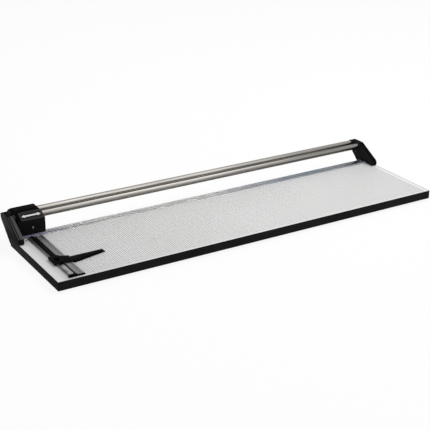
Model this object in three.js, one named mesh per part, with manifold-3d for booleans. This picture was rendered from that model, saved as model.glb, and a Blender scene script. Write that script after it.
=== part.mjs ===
// A rotary paper trimmer: a grid board with a lower blade along its rear edge, and a cutting
// head that runs on two steel rails between two end frames. Sizes are in millimetres.
//
// Places are measured from the board's front left corner at the height of its top face: X runs
// to the right along the front edge, Y runs back towards the rails and Z runs up. The last
// lines move the whole trimmer so that its origin is under its middle, on the table.

import * as THREE from 'three';
import { mergeVertices } from 'three/addons/utils/BufferGeometryUtils.js';
import Module from 'manifold-3d';

const wasm = await Module();
wasm.setup();

// Clearances and counts that the whole trimmer shares
const runningGap = 0.3;
const cutOverrun = 1;
const weldDistance = 0.0005;
const railSides = 48;
const wheelSides = 36;
const boreSides = 24;
const screwSides = 12;
const curveSteps = 6;
const hexSides = 6;
const socketDepthShare = 0.7;

// Board
const boardLength = 1250;
const boardThickness = 25;
const laminateThickness = 0.8;
const trimThickness = 2;
const cutLine = 328;
const footHeight = 6;
const footTopRadius = 12;
const footBottomRadius = 10;
const footInset = 60;

// Lower blade and the bed that carries it along the board's rear edge
const bladeDepth = 22;
const bladeThickness = 6;
const bladeOverhang = 4;
const bedWall = 4;
const bedWeb = 6;
const bladeScrewCount = 6;
const bladeScrewStart = 112;
const bladeScrewEndMargin = 133;
const bladeScrewSetback = 12;
const bladeScrewHeadRadius = 4;
const bladeScrewHeadHeight = 2;
const bladeScrewShankRadius = 2;
const bladeScrewLength = 11;

// Rails
const railRadius = 9.5;
const railHeight = 46;
const railSpacing = 35;
const railSetback = 12.5;
const railSocketDepth = 4;

// End frames, their covers and their bolts
const coverPlate = 3.8;
const coverNeck = 1.2;
const frameThickness = 11;
const grooveDepth = 1.6;
const footReach = 69.5;
const noseHeight = 16;
const eyeWall = 6;
const hookWidth = 3;
const noseRoundShare = 0.8;
const snapPegShare = 0.75;
const hookDrop = 19;
const frameBoltRadius = 2.5;
const frameBoltHeadRadius = 4.5;
const frameBoltHeadHeight = 3.5;
const frameBoltGrip = 12;
const frameBoltRecess = 5;
const frameBoltInset = 4;
const railScrewRadius = 4;
const railScrewHeadRadius = 7;
const railScrewHeadHeight = 3.6;
const railScrewDepth = 20;
const snapPegRadius = 2.5;
const snapPegLength = 5;

// Clamp strip
const stripDepth = 30;
const stripRearMargin = 5;
const stripThickness = 1.2;
const stripLift = 1.6;
const stripPocketDepth = 4;
const stripPinRadius = 1.5;
const stripPinRoot = 4;
const stripPinInset = 3.5;

// Cutting head
const headGap = 5;
const headLength = 80;
const headFrontReach = 19;
const headShelf = 1.2;
const headFaceRise = 0.5;
const headTopWall = 10;
const headChamferWidth = 6;
const headChamferHeight = 7.5;
const headSlopeEnd = 7.5;
const headRearDrop = 3.5;
const coverWall = 2.5;
const headShoulderShare = 0.71;
const headRearTopShare = 0.33;
const headScrewInsetShare = 0.2;
const bushWall = 1.2;
const bushLength = 12;
const headScrewRadius = 2;
const headScrewHeadRadius = 3.8;
const headScrewHeadHeight = 1.6;
const headScrewLength = 9;
const labelThickness = 0.8;
const labelLeftMargin = 11;
const labelRightMargin = 2;
const labelFootMargin = 1.5;
const labelCrestMargin = 10.6;
const adhesiveFilm = 0.1;
const shoeLength = 60;
const shoeDepth = 11;
const shoeHeight = 5;
const shoeSetback = 2;

// Cutting wheel, its spindle and the spring that presses it against the lower blade
const wheelRadius = 25;
const wheelBite = 1.6;
const wheelOffset = 2.6;
const wheelThickness = 2;
const wheelEdge = 0.4;
const wheelBevel = 4;
const hubRadius = 8.5;
const hubLength = 6.5;
const spindleRadius = 4;
const spindleProud = 0.5;
const wheelBushWall = 0.7;
const springWireRadius = 0.7;
const springTurns = 4;
const springStepsPerTurn = 10;
const springSides = 6;
const springRoom = 9;
const lugThickness = 8;
const nutRadius = 6.5;
const nutHeight = 5;

// Side guide
const guideLeft = 36.5;
const guideWidth = 45.6;
const guideFront = 14;
const guideRearGap = 3;
const guideFlangeWidth = 3.5;
const guideFlangeHeight = 1.2;
const guideWallWidth = 2.4;
const guideWallHeight = 6;
const guideFloor = 2;
const channelWidth = 15.1;
const slotWidth = 3;
const slotFloor = 0.8;
const landHeight = 4;
const landGrooveWidth = 1.4;
const landGrooveDepth = 0.8;
const landEdgeWidth = 5.8;
const scaleThickness = 0.5;
const scaleMargin = 2;
const capPlate = 4.5;
const capWrap = 3.5;
const capHeight = 7;
const guideScrewHeadRadius = 3.2;
const guideScrewHeadHeight = 1.4;
const guideScrewShankRadius = 1.5;
const guideScrewLength = 12;
const guideScrewInset = 29.5;
const guideScrewSetback = 1.9;
const squaringScrewRadius = 3.4;
const squaringScrewHeight = 2.4;
const squaringScrewCrown = 0.8;
const squaringShankRadius = 2;
const squaringScrewLength = 10;
const squaringScrewInset = 9;
const squaringScrewGap = 2.3;

// Adjustable stop
const barWidth = 12.6;
const barGap = 0.6;
const barTop = 7;
const barRearGap = 2;
const stopBlockFront = 92;
const stopBlockLength = 46;
const stopBlockWidth = 29;
const stopBlockHeight = 1.6;
const stopBlockRounding = 5.5;
const skirtWidth = 3.2;
const skirtDrop = 6.2;
const prongLength = 2.5;
const innerProngLength = 9;
const innerProngWidth = 4;
const innerProngLift = 0.9;
const armReach = 187;
const armTop = 7.4;
const armFaceY = 115.8;
const armTipWidth = 7.8;
const armTipSlope = 5.5;
const armTipEdge = 1.5;
const armRootFront = 87.4;
const armRootRear = 134;
const armShoulder = 12;
const armHeelX = 86.5;
const armHeelRear = 123.6;
const armLift = 0.5;
const stopSeam = 0.3;
const knobRadius = 8;
const knobHeight = 6;
const knobFlutes = 12;
const knobFluteRadius = 1.2;
const knobStudRadius = 2.5;

// Places that follow from those sizes
const bladeFront = cutLine - bladeDepth;
const bedRear = cutLine - bladeOverhang;
const bladeScrewSpan = boardLength - bladeScrewStart - bladeScrewEndMargin;
const bladeScrewPitch = bladeScrewSpan / (bladeScrewCount - 1);
const bedTop = -bladeThickness;
const boardBottom = -boardThickness;
const channelTop = bedTop - bedWeb;
const frontRailY = cutLine + railSetback;
const rearRailY = frontRailY + railSpacing;
const railBoreRadius = railRadius + runningGap;
const coverDepth = coverPlate + coverNeck;
const frameInner = coverDepth + frameThickness;
const railStart = frameInner - railSocketDepth + runningGap;
const railEnd = boardLength - railStart;
const eyeRadius = railRadius + eyeWall;

// The end frame's corners round the rails, in shares of the eye's radius from each rail's middle,
// with the round of each corner. The groove draws a rear corner forwards and the others down.
const frameEyeCorners = [
  { rail: frontRailY, back: -0.39, up: 0.76, round: 0.1 },
  { rail: rearRailY, back: 0, up: 0.76, round: 0.3 },
  { rail: rearRailY, back: 1, up: 0.335, round: 0.4, rear: true },
  { rail: rearRailY, back: 0.8, up: -0.55, round: 0.35, rear: true },
];
const footFront = cutLine - footReach;
const stripRear = cutLine - stripRearMargin;
const stripFront = stripRear - stripDepth;
const stripTop = stripLift + stripThickness;
const stripEnd = frameInner - stripPocketDepth + runningGap;
const headLeft = frameInner + headGap;
const headRight = headLeft + headLength;
const headMiddle = headLeft + headLength / 2;
const headFront = cutLine - headFrontReach;
const headBottom = stripTop + headShelf;
const headTop = railHeight + railRadius + headTopWall;
const headSlopeTopY = frontRailY + headSlopeEnd;
const headRear = rearRailY + railRadius + eyeWall;
const headRearBottom = railHeight - railRadius - headRearDrop;
const headTopRearY = rearRailY;
const headShoulderHeight = railHeight + eyeRadius * headShoulderShare;
const headRearTop = railHeight + eyeRadius * headRearTopShare;
const wheelX = headMiddle + wheelOffset;
const wheelZ = wheelRadius - wheelBite;
const wheelFront = cutLine + runningGap;
const wheelRear = wheelFront + wheelThickness;
const hubRear = wheelFront + hubLength;
const lugFront = hubRear + springRoom + runningGap;
const lugRear = lugFront + lugThickness;
const bushOuterRadius = railBoreRadius + bushWall;
const wheelBushInner = spindleRadius + runningGap;
const wheelBushOuter = wheelBushInner + wheelBushWall;
const wheelBore = wheelBushOuter + runningGap;
const guideRear = stripFront - guideRearGap;
const guideWallLeft = guideLeft + guideFlangeWidth;
const channelLeft = guideWallLeft + guideWallWidth;
const slotLeft = channelLeft + channelWidth;
const landLeft = slotLeft + slotWidth;
const guideRight = guideLeft + guideWidth;
const landGroove = guideRight - landEdgeWidth - landGrooveWidth;
const barLeft = channelLeft + barGap;
const barRight = barLeft + barWidth;
const barBottom = guideFloor + runningGap;
const barRear = guideRear - barRearGap;
const stopBlockRear = stopBlockFront + stopBlockLength;
const stopBlockBottom = barTop + runningGap;
const stopBlockTop = stopBlockBottom + stopBlockHeight;
const stopBlockLeft = guideLeft - runningGap - skirtWidth;
const stopBlockRight = stopBlockLeft + stopBlockWidth;
const knobX = (barLeft + barRight) / 2;
const knobY = stopBlockFront + stopBlockLength / 2;
const overallDepth = headRear;

// A surface that three.js made, as a solid that can be joined and cut.
function solidOf(geometry) {
  const bare = new THREE.BufferGeometry();
  bare.setAttribute('position', geometry.getAttribute('position'));
  bare.setIndex(geometry.index);
  const merged = mergeVertices(bare, weldDistance);
  return new wasm.Manifold(new wasm.Mesh({
    numProp: 3,
    vertProperties: new Float32Array(merged.getAttribute('position').array),
    triVerts: new Uint32Array(merged.index.array),
  }));
}

// A solid's surface, as a three.js geometry.
function surfaceOf(solid) {
  const surface = solid.getMesh();
  const geometry = new THREE.BufferGeometry();
  geometry.setAttribute('position', new THREE.BufferAttribute(new Float32Array(surface.vertProperties), 3));
  geometry.setIndex(new THREE.BufferAttribute(new Uint32Array(surface.triVerts), 1));
  geometry.computeVertexNormals();
  return geometry;
}

function block(left, right, front, rear, bottom, top) {
  const geometry = new THREE.BoxGeometry(right - left, rear - front, top - bottom);
  geometry.translate((left + right) / 2, (front + rear) / 2, (bottom + top) / 2);
  return solidOf(geometry);
}

// A closed outline. Each corner is [across, up, setback]: a corner with a setback is rounded,
// and its curve starts that far from the corner along both sides.
function outline(corners) {
  const places = corners.map(([across, up]) => new THREE.Vector2(across, up));
  const shape = new THREE.Shape();
  corners.forEach(([, , setback = 0], index) => {
    const here = places[index];
    const before = places[(index + places.length - 1) % places.length];
    const after = places[(index + 1) % places.length];
    const entry = before.clone().sub(here).setLength(setback).add(here);
    const exit = after.clone().sub(here).setLength(setback).add(here);
    if (index === 0) {
      shape.moveTo(entry.x, entry.y);
    } else {
      shape.lineTo(entry.x, entry.y);
    }
    if (setback > 0) {
      shape.quadraticCurveTo(here.x, here.y, exit.x, exit.y);
    }
  });
  return shape;
}

function extruded(shape, depth) {
  return new THREE.ExtrudeGeometry(shape, { depth, bevelEnabled: false, curveSegments: curveSteps });
}

// An outline of [y, z] corners, run along X.
function alongX(corners, left, right) {
  const geometry = extruded(outline(corners), right - left);
  const across = new THREE.Vector3(0, 1, 0);
  const up = new THREE.Vector3(0, 0, 1);
  const run = new THREE.Vector3(1, 0, 0);
  geometry.applyMatrix4(new THREE.Matrix4().makeBasis(across, up, run));
  geometry.translate(left, 0, 0);
  return solidOf(geometry);
}

// An outline of [x, z] corners, run along Y.
function alongY(corners, front, rear) {
  const geometry = extruded(outline(corners), rear - front);
  const across = new THREE.Vector3(1, 0, 0);
  const up = new THREE.Vector3(0, 0, 1);
  const run = new THREE.Vector3(0, -1, 0);
  geometry.applyMatrix4(new THREE.Matrix4().makeBasis(across, up, run));
  geometry.translate(0, rear, 0);
  return solidOf(geometry);
}

// An outline of [x, y] corners, run up Z.
function alongZ(corners, bottom, top) {
  const geometry = extruded(outline(corners), top - bottom);
  geometry.translate(0, 0, bottom);
  return solidOf(geometry);
}

// A round bar along X, Y or Z, between two places, through [the other two places in order].
function roundBar(axis, radius, from, to, [a, b], sides = screwSides) {
  const geometry = new THREE.CylinderGeometry(radius, radius, to - from, sides);
  const middle = (from + to) / 2;
  if (axis === 'x') {
    geometry.rotateZ(-Math.PI / 2);
    geometry.translate(middle, a, b);
  } else if (axis === 'y') {
    geometry.translate(a, middle, b);
  } else {
    geometry.rotateX(Math.PI / 2);
    geometry.translate(a, b, middle);
  }
  return solidOf(geometry);
}

// A turned shape about an upright axis through [x, y], from [radius, z] corners, top first.
function turnedUpright(corners, [x, y], sides = screwSides) {
  const points = corners.map(([radius, up]) => new THREE.Vector2(radius, up)).reverse();
  const geometry = new THREE.LatheGeometry(points, sides);
  geometry.rotateX(Math.PI / 2);
  geometry.translate(x, y, 0);
  return solidOf(geometry);
}

// A turned shape about an axis along Y through [x, z], from [radius, y] corners, front first.
function turnedAlongY(corners, [x, z], sides = wheelSides) {
  const points = corners.map(([radius, along]) => new THREE.Vector2(radius, along));
  const geometry = new THREE.LatheGeometry(points, sides);
  geometry.translate(x, 0, z);
  return solidOf(geometry);
}

// A countersunk screw with its head level with a face at the height top, and a hex socket.
function countersunkScrew(place, top, size) {
  const { headRadius, headHeight, shankRadius, length } = size;
  const headFoot = top - headHeight;
  const body = turnedUpright([
    [0, top],
    [headRadius, top],
    [shankRadius, headFoot],
    [shankRadius, top - length],
    [0, top - length],
  ], place);
  const socketRadius = headRadius / 2;
  const socketFloor = top - headHeight * socketDepthShare;
  return body.subtract(roundBar('z', socketRadius, socketFloor, top + cutOverrun, place, hexSides));
}

// The hole that such a screw drops into, open from the height mouth down.
function countersink(place, top, size, mouth = top) {
  const { headRadius, headHeight, shankRadius, length } = size;
  const headFoot = top - headHeight - runningGap / 2;
  return turnedUpright([
    [0, mouth + cutOverrun],
    [headRadius + runningGap, mouth + cutOverrun],
    [headRadius + runningGap, top],
    [shankRadius + runningGap, headFoot],
    [shankRadius + runningGap, top - length - runningGap],
    [0, top - length - runningGap],
  ], place);
}

// A pan head screw from below, with its head's upper face at the height seat.
function boltFromBelow(place, seat, size) {
  const { headRadius, headHeight, shankRadius, grip } = size;
  const body = turnedUpright([
    [0, grip],
    [shankRadius, grip],
    [shankRadius, seat],
    [headRadius, seat],
    [headRadius, seat - headHeight],
    [0, seat - headHeight],
  ], place);
  const headBottom = seat - headHeight;
  const socketTop = seat - headHeight / 2;
  return body.subtract(roundBar('z', headRadius / 2, headBottom - cutOverrun, socketTop, place, hexSides));
}

// A line of points moved sideways by a distance, to the left of the way that it runs.
function offsetLine(points, distance) {
  const places = points.map(([across, up]) => new THREE.Vector2(across, up));
  const normals = places.slice(1).map((place, index) => {
    const run = place.clone().sub(places[index]).normalize();
    return new THREE.Vector2(-run.y, run.x);
  });
  return places.map((place, index) => {
    const before = normals[Math.max(index - 1, 0)];
    const after = normals[Math.min(index, normals.length - 1)];
    const miter = before.clone().add(after).normalize();
    const reach = distance / miter.dot(after);
    return [place.x + miter.x * reach, place.y + miter.y * reach];
  });
}

// Finishes
const finish = (color, roughness, metalness = 0) => ({ color, roughness, metalness });
const finishes = {
  board: finish(0x8a7358, 0.9),
  laminate: finish(0xd6d6d4, 0.45),
  trim: finish(0x1c1c1d, 0.55),
  castBlack: finish(0x232324, 0.5),
  mouldedBlack: finish(0x111112, 0.4),
  label: finish(0x3a3a3b, 0.4),
  steel: finish(0xb9b4ac, 0.28, 1),
  bladeSteel: finish(0x9da0a3, 0.25, 1),
  darkSteel: finish(0x2b2c2e, 0.4, 0.8),
  aluminium: finish(0xa9abac, 0.4, 1),
  bronze: finish(0x8f6b3a, 0.45, 1),
  nylon: finish(0xe2e0d8, 0.5),
  strip: finish(0xa9b4c4, 0.1),
  rubber: finish(0x161616, 0.9),
};

const trimmer = new THREE.Group();

function add(name, solid, look, group = trimmer) {
  const mesh = new THREE.Mesh(surfaceOf(solid), new THREE.MeshStandardMaterial(finishes[look]));
  mesh.name = name;
  group.add(mesh);
  return mesh;
}

// Places of fasteners that several pieces share
const frameBoltX = coverDepth + frameBoltInset;
const frameBoltFrontY = footFront + noseHeight + frameBoltHeadRadius;
const frameBoltRearY = (bladeFront + bedRear) / 2;
const frameBoltPlaces = [
  ['left', 'front', frameBoltX, frameBoltFrontY],
  ['left', 'rear', frameBoltX, frameBoltRearY],
  ['right', 'front', boardLength - frameBoltX, frameBoltFrontY],
  ['right', 'rear', boardLength - frameBoltX, frameBoltRearY],
];
const frameBoltSize = {
  headRadius: frameBoltHeadRadius,
  headHeight: frameBoltHeadHeight,
  shankRadius: frameBoltRadius,
  grip: frameBoltGrip,
};
const bladeScrewSize = {
  headRadius: bladeScrewHeadRadius,
  headHeight: bladeScrewHeadHeight,
  shankRadius: bladeScrewShankRadius,
  length: bladeScrewLength,
};
const bladeScrewPlaces = Array.from({ length: bladeScrewCount }, (_, index) => {
  const x = bladeScrewStart + index * bladeScrewPitch;
  return [x, cutLine - bladeScrewSetback];
});
const guideScrewSize = {
  headRadius: guideScrewHeadRadius,
  headHeight: guideScrewHeadHeight,
  shankRadius: guideScrewShankRadius,
  length: guideScrewLength,
};
const guideScrewX = channelLeft + guideScrewSetback;
const guideScrewPlaces = [
  ['front', [guideScrewX, guideFront + guideScrewInset]],
  ['rear', [guideScrewX, guideRear - guideScrewInset]],
];
const squaringPlace = [guideLeft - squaringScrewGap - squaringScrewRadius, guideRear - squaringScrewInset];
const stripPinX = (stripEnd + frameInner) / 2;
const stripPinPlaces = [
  ['left', [stripPinX, stripRear - stripPinInset]],
  ['right', [boardLength - stripPinX, stripRear - stripPinInset]],
];

function addBoard() {
  const boreRadius = frameBoltRadius + runningGap;
  const recessTop = boardBottom + frameBoltRecess;
  let core = block(
    trimThickness, boardLength - trimThickness,
    trimThickness, bladeFront,
    boardBottom, -laminateThickness,
  );
  let laminate = block(
    trimThickness, boardLength - trimThickness,
    trimThickness, bladeFront,
    -laminateThickness, 0,
  );
  for (const [, end, x, y] of frameBoltPlaces) {
    if (end === 'front') {
      const bore = roundBar('z', boreRadius, boardBottom - cutOverrun, cutOverrun, [x, y]);
      const headRoom = frameBoltHeadRadius + runningGap;
      core = core.subtract(bore);
      core = core.subtract(roundBar('z', headRoom, boardBottom - cutOverrun, recessTop, [x, y]));
      laminate = laminate.subtract(bore);
    }
  }
  for (const [, place] of guideScrewPlaces) {
    const bottom = guideFloor - guideScrewLength - runningGap;
    const bore = roundBar('z', guideScrewShankRadius + runningGap, bottom, cutOverrun, place);
    core = core.subtract(bore);
    laminate = laminate.subtract(bore);
  }
  const squaringBottom = -squaringScrewLength - runningGap;
  const squaringRoom = squaringShankRadius + runningGap;
  const squaringBore = roundBar('z', squaringRoom, squaringBottom, cutOverrun, squaringPlace);
  add('baseboard', core.subtract(squaringBore), 'board');
  add('grid_laminate', laminate.subtract(squaringBore), 'laminate');
}

function addTrims() {
  const right = boardLength - trimThickness;
  add('front_edge_trim', block(0, boardLength, 0, trimThickness, boardBottom, 0), 'trim');
  add('left_edge_trim', block(0, trimThickness, trimThickness, bedRear, boardBottom, 0), 'trim');
  add('right_edge_trim', block(right, boardLength, trimThickness, bedRear, boardBottom, 0), 'trim');
}

function addFeet() {
  const places = {
    front_left: [footInset, footInset],
    front_right: [boardLength - footInset, footInset],
    rear_left: [footInset, bladeFront - footInset / 2],
    rear_right: [boardLength - footInset, bladeFront - footInset / 2],
  };
  for (const [name, place] of Object.entries(places)) {
    const foot = turnedUpright([
      [0, boardBottom],
      [footTopRadius, boardBottom],
      [footBottomRadius, boardBottom - footHeight],
      [0, boardBottom - footHeight],
    ], place, boreSides);
    add(`foot_${name}`, foot, 'rubber');
  }
}

function addBladeAndBed() {
  const right = boardLength - trimThickness;
  let bed = block(trimThickness, right, bladeFront, bedRear, boardBottom, bedTop);
  bed = bed.subtract(block(
    trimThickness - cutOverrun, right + cutOverrun,
    bladeFront + bedWall, bedRear - bedWall,
    boardBottom - cutOverrun, channelTop,
  ));
  let blade = block(trimThickness, right, bladeFront, cutLine, bedTop, 0);
  for (const [, end, x, y] of frameBoltPlaces) {
    if (end === 'rear') {
      const bore = roundBar('z', frameBoltRadius + runningGap, boardBottom, cutOverrun, [x, y]);
      bed = bed.subtract(bore);
      blade = blade.subtract(bore);
    }
  }
  bladeScrewPlaces.forEach((place, index) => {
    const hole = countersink(place, 0, bladeScrewSize);
    bed = bed.subtract(hole);
    blade = blade.subtract(hole);
    add(`lower_blade_screw_${index + 1}`, countersunkScrew(place, 0, bladeScrewSize), 'darkSteel');
  });
  for (const [, place] of stripPinPlaces) {
    blade = blade.subtract(roundBar('z', stripPinRadius + runningGap, -stripPinRoot, cutOverrun, place));
  }
  add('blade_bed', bed, 'aluminium');
  add('lower_blade', blade, 'bladeSteel');
}

// The end frame's outline, drawn in by a margin all round for the groove behind the cover.
function frameOutline(margin) {
  const noseRound = (noseHeight / 2 - margin) * noseRoundShare;
  const hookFront = bedRear + runningGap + margin;
  const bladeClear = cutLine + runningGap + margin;
  return [
    [footFront + margin, margin, noseRound],
    [footFront + margin, noseHeight - margin, noseRound],
    ...frameEyeCorners.map(({ rail, back, up, round, rear }) => [
      rail + eyeRadius * back - (rear ? margin : 0),
      railHeight + eyeRadius * up - (rear ? 0 : margin),
      eyeRadius * round,
    ]),
    [bedRear + hookWidth + runningGap - margin, -hookDrop + margin],
    [hookFront - margin, -hookDrop + margin],
    [hookFront - margin, bedTop - runningGap],
    [bladeClear - margin, bedTop - runningGap],
    [bladeClear - margin, margin],
  ];
}

// One end frame and its cover. At the right end the same pieces are mirrored in the board's middle.
function addEnd(side) {
  const mirror = (x) => (side === 'left' ? x : boardLength - x);
  const span = (a, b) => [Math.min(mirror(a), mirror(b)), Math.max(mirror(a), mirror(b))];
  let frame = alongX(frameOutline(0), ...span(coverDepth, frameInner));
  for (const y of [frontRailY, rearRailY]) {
    const socket = span(frameInner - railSocketDepth, frameInner + cutOverrun);
    const bore = span(coverDepth - cutOverrun, frameInner);
    const headRoom = span(coverDepth - cutOverrun, coverDepth + railScrewHeadHeight + runningGap);
    frame = frame.subtract(roundBar('x', railBoreRadius, ...socket, [y, railHeight], boreSides));
    frame = frame.subtract(roundBar('x', railScrewRadius + runningGap, ...bore, [y, railHeight]));
    frame = frame.subtract(roundBar('x', railScrewHeadRadius + runningGap, ...headRoom, [y, railHeight]));
  }
  for (const [boltSide, , x, y] of frameBoltPlaces) {
    if (boltSide === side) {
      const top = frameBoltGrip + runningGap;
      frame = frame.subtract(roundBar('z', frameBoltRadius + runningGap, -cutOverrun, top, [x, y]));
    }
  }
  const pocket = span(frameInner - stripPocketDepth, frameInner + cutOverrun);
  frame = frame.subtract(block(
    ...pocket,
    stripFront - runningGap, stripRear + runningGap,
    -cutOverrun, stripTop + runningGap,
  ));
  let cover = alongX(frameOutline(0), ...span(0, coverPlate));
  cover = cover.add(alongX(frameOutline(grooveDepth), ...span(coverPlate, coverDepth)));
  for (const [y, z] of snapPegPlaces()) {
    const pegEnd = coverDepth + snapPegLength;
    const hole = span(coverDepth - cutOverrun, pegEnd + runningGap);
    frame = frame.subtract(roundBar('x', snapPegRadius + runningGap, ...hole, [y, z]));
    cover = cover.add(roundBar('x', snapPegRadius, ...span(coverPlate, pegEnd), [y, z]));
  }
  add(`${side}_end_frame`, frame, 'castBlack');
  add(`${side}_end_cover`, cover, 'mouldedBlack');
}

// The cover's two snap pegs: low behind the nose, and between the rails.
function snapPegPlaces() {
  const lowY = footFront + (bladeFront - footFront) * snapPegShare;
  return [
    [lowY, noseHeight + snapPegRadius * 2],
    [(frontRailY + rearRailY) / 2, railHeight - eyeRadius],
  ];
}

function addFrameBolts() {
  for (const [side, end, x, y] of frameBoltPlaces) {
    const seat = end === 'front' ? boardBottom + frameBoltRecess : channelTop;
    add(`${side}_frame_bolt_${end}`, boltFromBelow([x, y], seat, frameBoltSize), 'darkSteel');
  }
}

function addRails() {
  const rails = { front: frontRailY, rear: rearRailY };
  const tapDepth = railScrewDepth + runningGap;
  for (const [name, y] of Object.entries(rails)) {
    const axis = [y, railHeight];
    const tapRadius = railScrewRadius + runningGap;
    let rail = roundBar('x', railRadius, railStart, railEnd, axis, railSides);
    rail = rail.subtract(roundBar('x', tapRadius, railStart - cutOverrun, railStart + tapDepth, axis));
    rail = rail.subtract(roundBar('x', tapRadius, railEnd - tapDepth, railEnd + cutOverrun, axis));
    add(`${name}_rail`, rail, 'steel');
    addRailScrew(`left_${name}_rail_screw`, axis, false);
    addRailScrew(`right_${name}_rail_screw`, axis, true);
  }
}

function addRailScrew(name, axis, mirrored) {
  const mirror = (x) => (mirrored ? boardLength - x : x);
  const span = (a, b) => [Math.min(mirror(a), mirror(b)), Math.max(mirror(a), mirror(b))];
  const seat = coverDepth + railScrewHeadHeight + runningGap;
  const socketEnd = seat - railScrewHeadHeight / 2;
  const shankEnd = railStart + railScrewDepth;
  const head = roundBar('x', railScrewHeadRadius, ...span(seat - railScrewHeadHeight, seat), axis);
  const shank = roundBar('x', railScrewRadius, ...span(seat - railScrewRadius / 2, shankEnd), axis);
  const socket = roundBar('x', railScrewRadius, ...span(0, socketEnd - railScrewRadius / 2), axis, hexSides);
  add(name, head.add(shank).subtract(socket), 'darkSteel');
}

function addClampStrip() {
  let strip = block(stripEnd, boardLength - stripEnd, stripFront, stripRear, stripLift, stripTop);
  const pinRoom = stripPinRadius + runningGap;
  for (const [side, place] of stripPinPlaces) {
    strip = strip.subtract(roundBar('z', pinRoom, stripLift - cutOverrun, stripTop + cutOverrun, place));
    const pinBottom = -stripPinRoot + runningGap;
    add(`${side}_strip_pin`, roundBar('z', stripPinRadius, pinBottom, stripTop, place), 'steel');
  }
  add('clamp_strip', strip, 'strip');
}

// The head's top and rear, from the label slope's upper edge round to the rear skirt.
function headBackLine(distance) {
  return offsetLine([
    [headSlopeTopY, headTop],
    [headTopRearY, headTop],
    [headRear - coverWall, headShoulderHeight],
    [headRear, headRearTop],
    [headRear, headRearBottom],
  ], -distance);
}

function headScrewPlaces() {
  const y = (frontRailY + rearRailY) / 2;
  const inset = headLength * headScrewInsetShare;
  return [
    ['left', [headLeft + inset, y]],
    ['right', [headRight - inset, y]],
  ];
}

// The head's upper left and right edges are cut back by a slanting chamfer.
function chamferHeadEnds(solid) {
  const rise = headChamferHeight / headChamferWidth;
  const corners = (edge, inward) => [
    [edge - inward * cutOverrun, headTop - headChamferHeight - cutOverrun * rise],
    [edge + inward * (headChamferWidth + cutOverrun), headTop + cutOverrun * rise],
    [edge - inward * cutOverrun, headTop + cutOverrun * rise],
  ];
  const front = headFront - cutOverrun;
  const rear = headRear + cutOverrun;
  return solid
    .subtract(alongY(corners(headLeft, 1), front, rear))
    .subtract(alongY(corners(headRight, -1), front, rear));
}

const headScrewSize = {
  headRadius: headScrewHeadRadius,
  headHeight: headScrewHeadHeight,
  shankRadius: headScrewRadius,
  length: headScrewLength,
};

function addHeadBody() {
  const inner = headBackLine(coverWall + runningGap);
  let body = alongX([
    [headFront, headBottom],
    [headFront, railHeight + headFaceRise],
    [headSlopeTopY, headTop],
    ...inner,
    [lugRear, headRearBottom],
    [lugRear, headBottom],
  ], headLeft, headRight);
  const railRoom = railBoreRadius + runningGap;
  const start = headLeft - cutOverrun;
  const end = headRight + cutOverrun;
  const bushSpans = [[start, headLeft + bushLength], [headRight - bushLength, end]];
  for (const y of [frontRailY, rearRailY]) {
    const axis = [y, railHeight];
    body = body.subtract(roundBar('x', railRoom, start, end, axis, boreSides));
    for (const [from, to] of bushSpans) {
      body = body.subtract(roundBar('x', bushOuterRadius + runningGap, from, to, axis, boreSides));
    }
  }
  const slotReach = wheelRadius + cutOverrun;
  body = body.subtract(block(
    wheelX - slotReach, wheelX + slotReach,
    wheelFront - cutOverrun, wheelRear + cutOverrun,
    headBottom - cutOverrun, wheelZ + slotReach,
  ));
  const hubReach = hubRadius + cutOverrun;
  body = body.subtract(block(
    wheelX - hubReach, wheelX + hubReach,
    wheelRear, lugFront,
    headBottom - cutOverrun, wheelZ + hubReach,
  ));
  const spindleRoom = spindleRadius + runningGap;
  const spindleAxis = [wheelX, wheelZ];
  body = body.subtract(roundBar('y', spindleRoom, headFront - cutOverrun, lugRear + cutOverrun, spindleAxis));
  const shoeMargin = runningGap;
  body = body.subtract(block(
    headMiddle - shoeLength / 2 - shoeMargin, headMiddle + shoeLength / 2 + shoeMargin,
    headFront + shoeSetback - shoeMargin, headFront + shoeSetback + shoeDepth + shoeMargin,
    headBottom - cutOverrun, stripTop + runningGap + shoeHeight,
  ));
  for (const [, place] of headScrewPlaces()) {
    body = body.subtract(countersink(place, headTop, headScrewSize));
  }
  add('head_body', chamferHeadEnds(body), 'mouldedBlack');
}

function addHeadCover() {
  const outer = headBackLine(0);
  const inner = headBackLine(coverWall);
  const seam = headSlopeTopY + runningGap;
  outer[0] = [seam, outer[0][1]];
  inner[0] = [seam, inner[0][1]];
  let cover = alongX([...outer, ...inner.reverse()], headLeft, headRight);
  for (const [side, place] of headScrewPlaces()) {
    cover = cover.subtract(countersink(place, headTop, headScrewSize));
    add(`head_cover_screw_${side}`, countersunkScrew(place, headTop, headScrewSize), 'darkSteel');
  }
  add('head_cover', chamferHeadEnds(cover), 'mouldedBlack');
}

function addLabelPlate() {
  const foot = new THREE.Vector2(headFront, railHeight + headFaceRise);
  const crest = new THREE.Vector2(headSlopeTopY, headTop);
  const along = crest.clone().sub(foot).normalize();
  const out = new THREE.Vector2(-along.y, along.x);
  const corner = (base, run, lift) => {
    const place = base.clone().addScaledVector(along, run).addScaledVector(out, lift);
    return [place.x, place.y];
  };
  add('label_plate', alongX([
    corner(foot, labelFootMargin, adhesiveFilm),
    corner(foot, labelFootMargin, adhesiveFilm + labelThickness),
    corner(crest, -labelCrestMargin, adhesiveFilm + labelThickness),
    corner(crest, -labelCrestMargin, adhesiveFilm),
  ], headLeft + labelLeftMargin, headRight - labelRightMargin), 'label');
}

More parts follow.
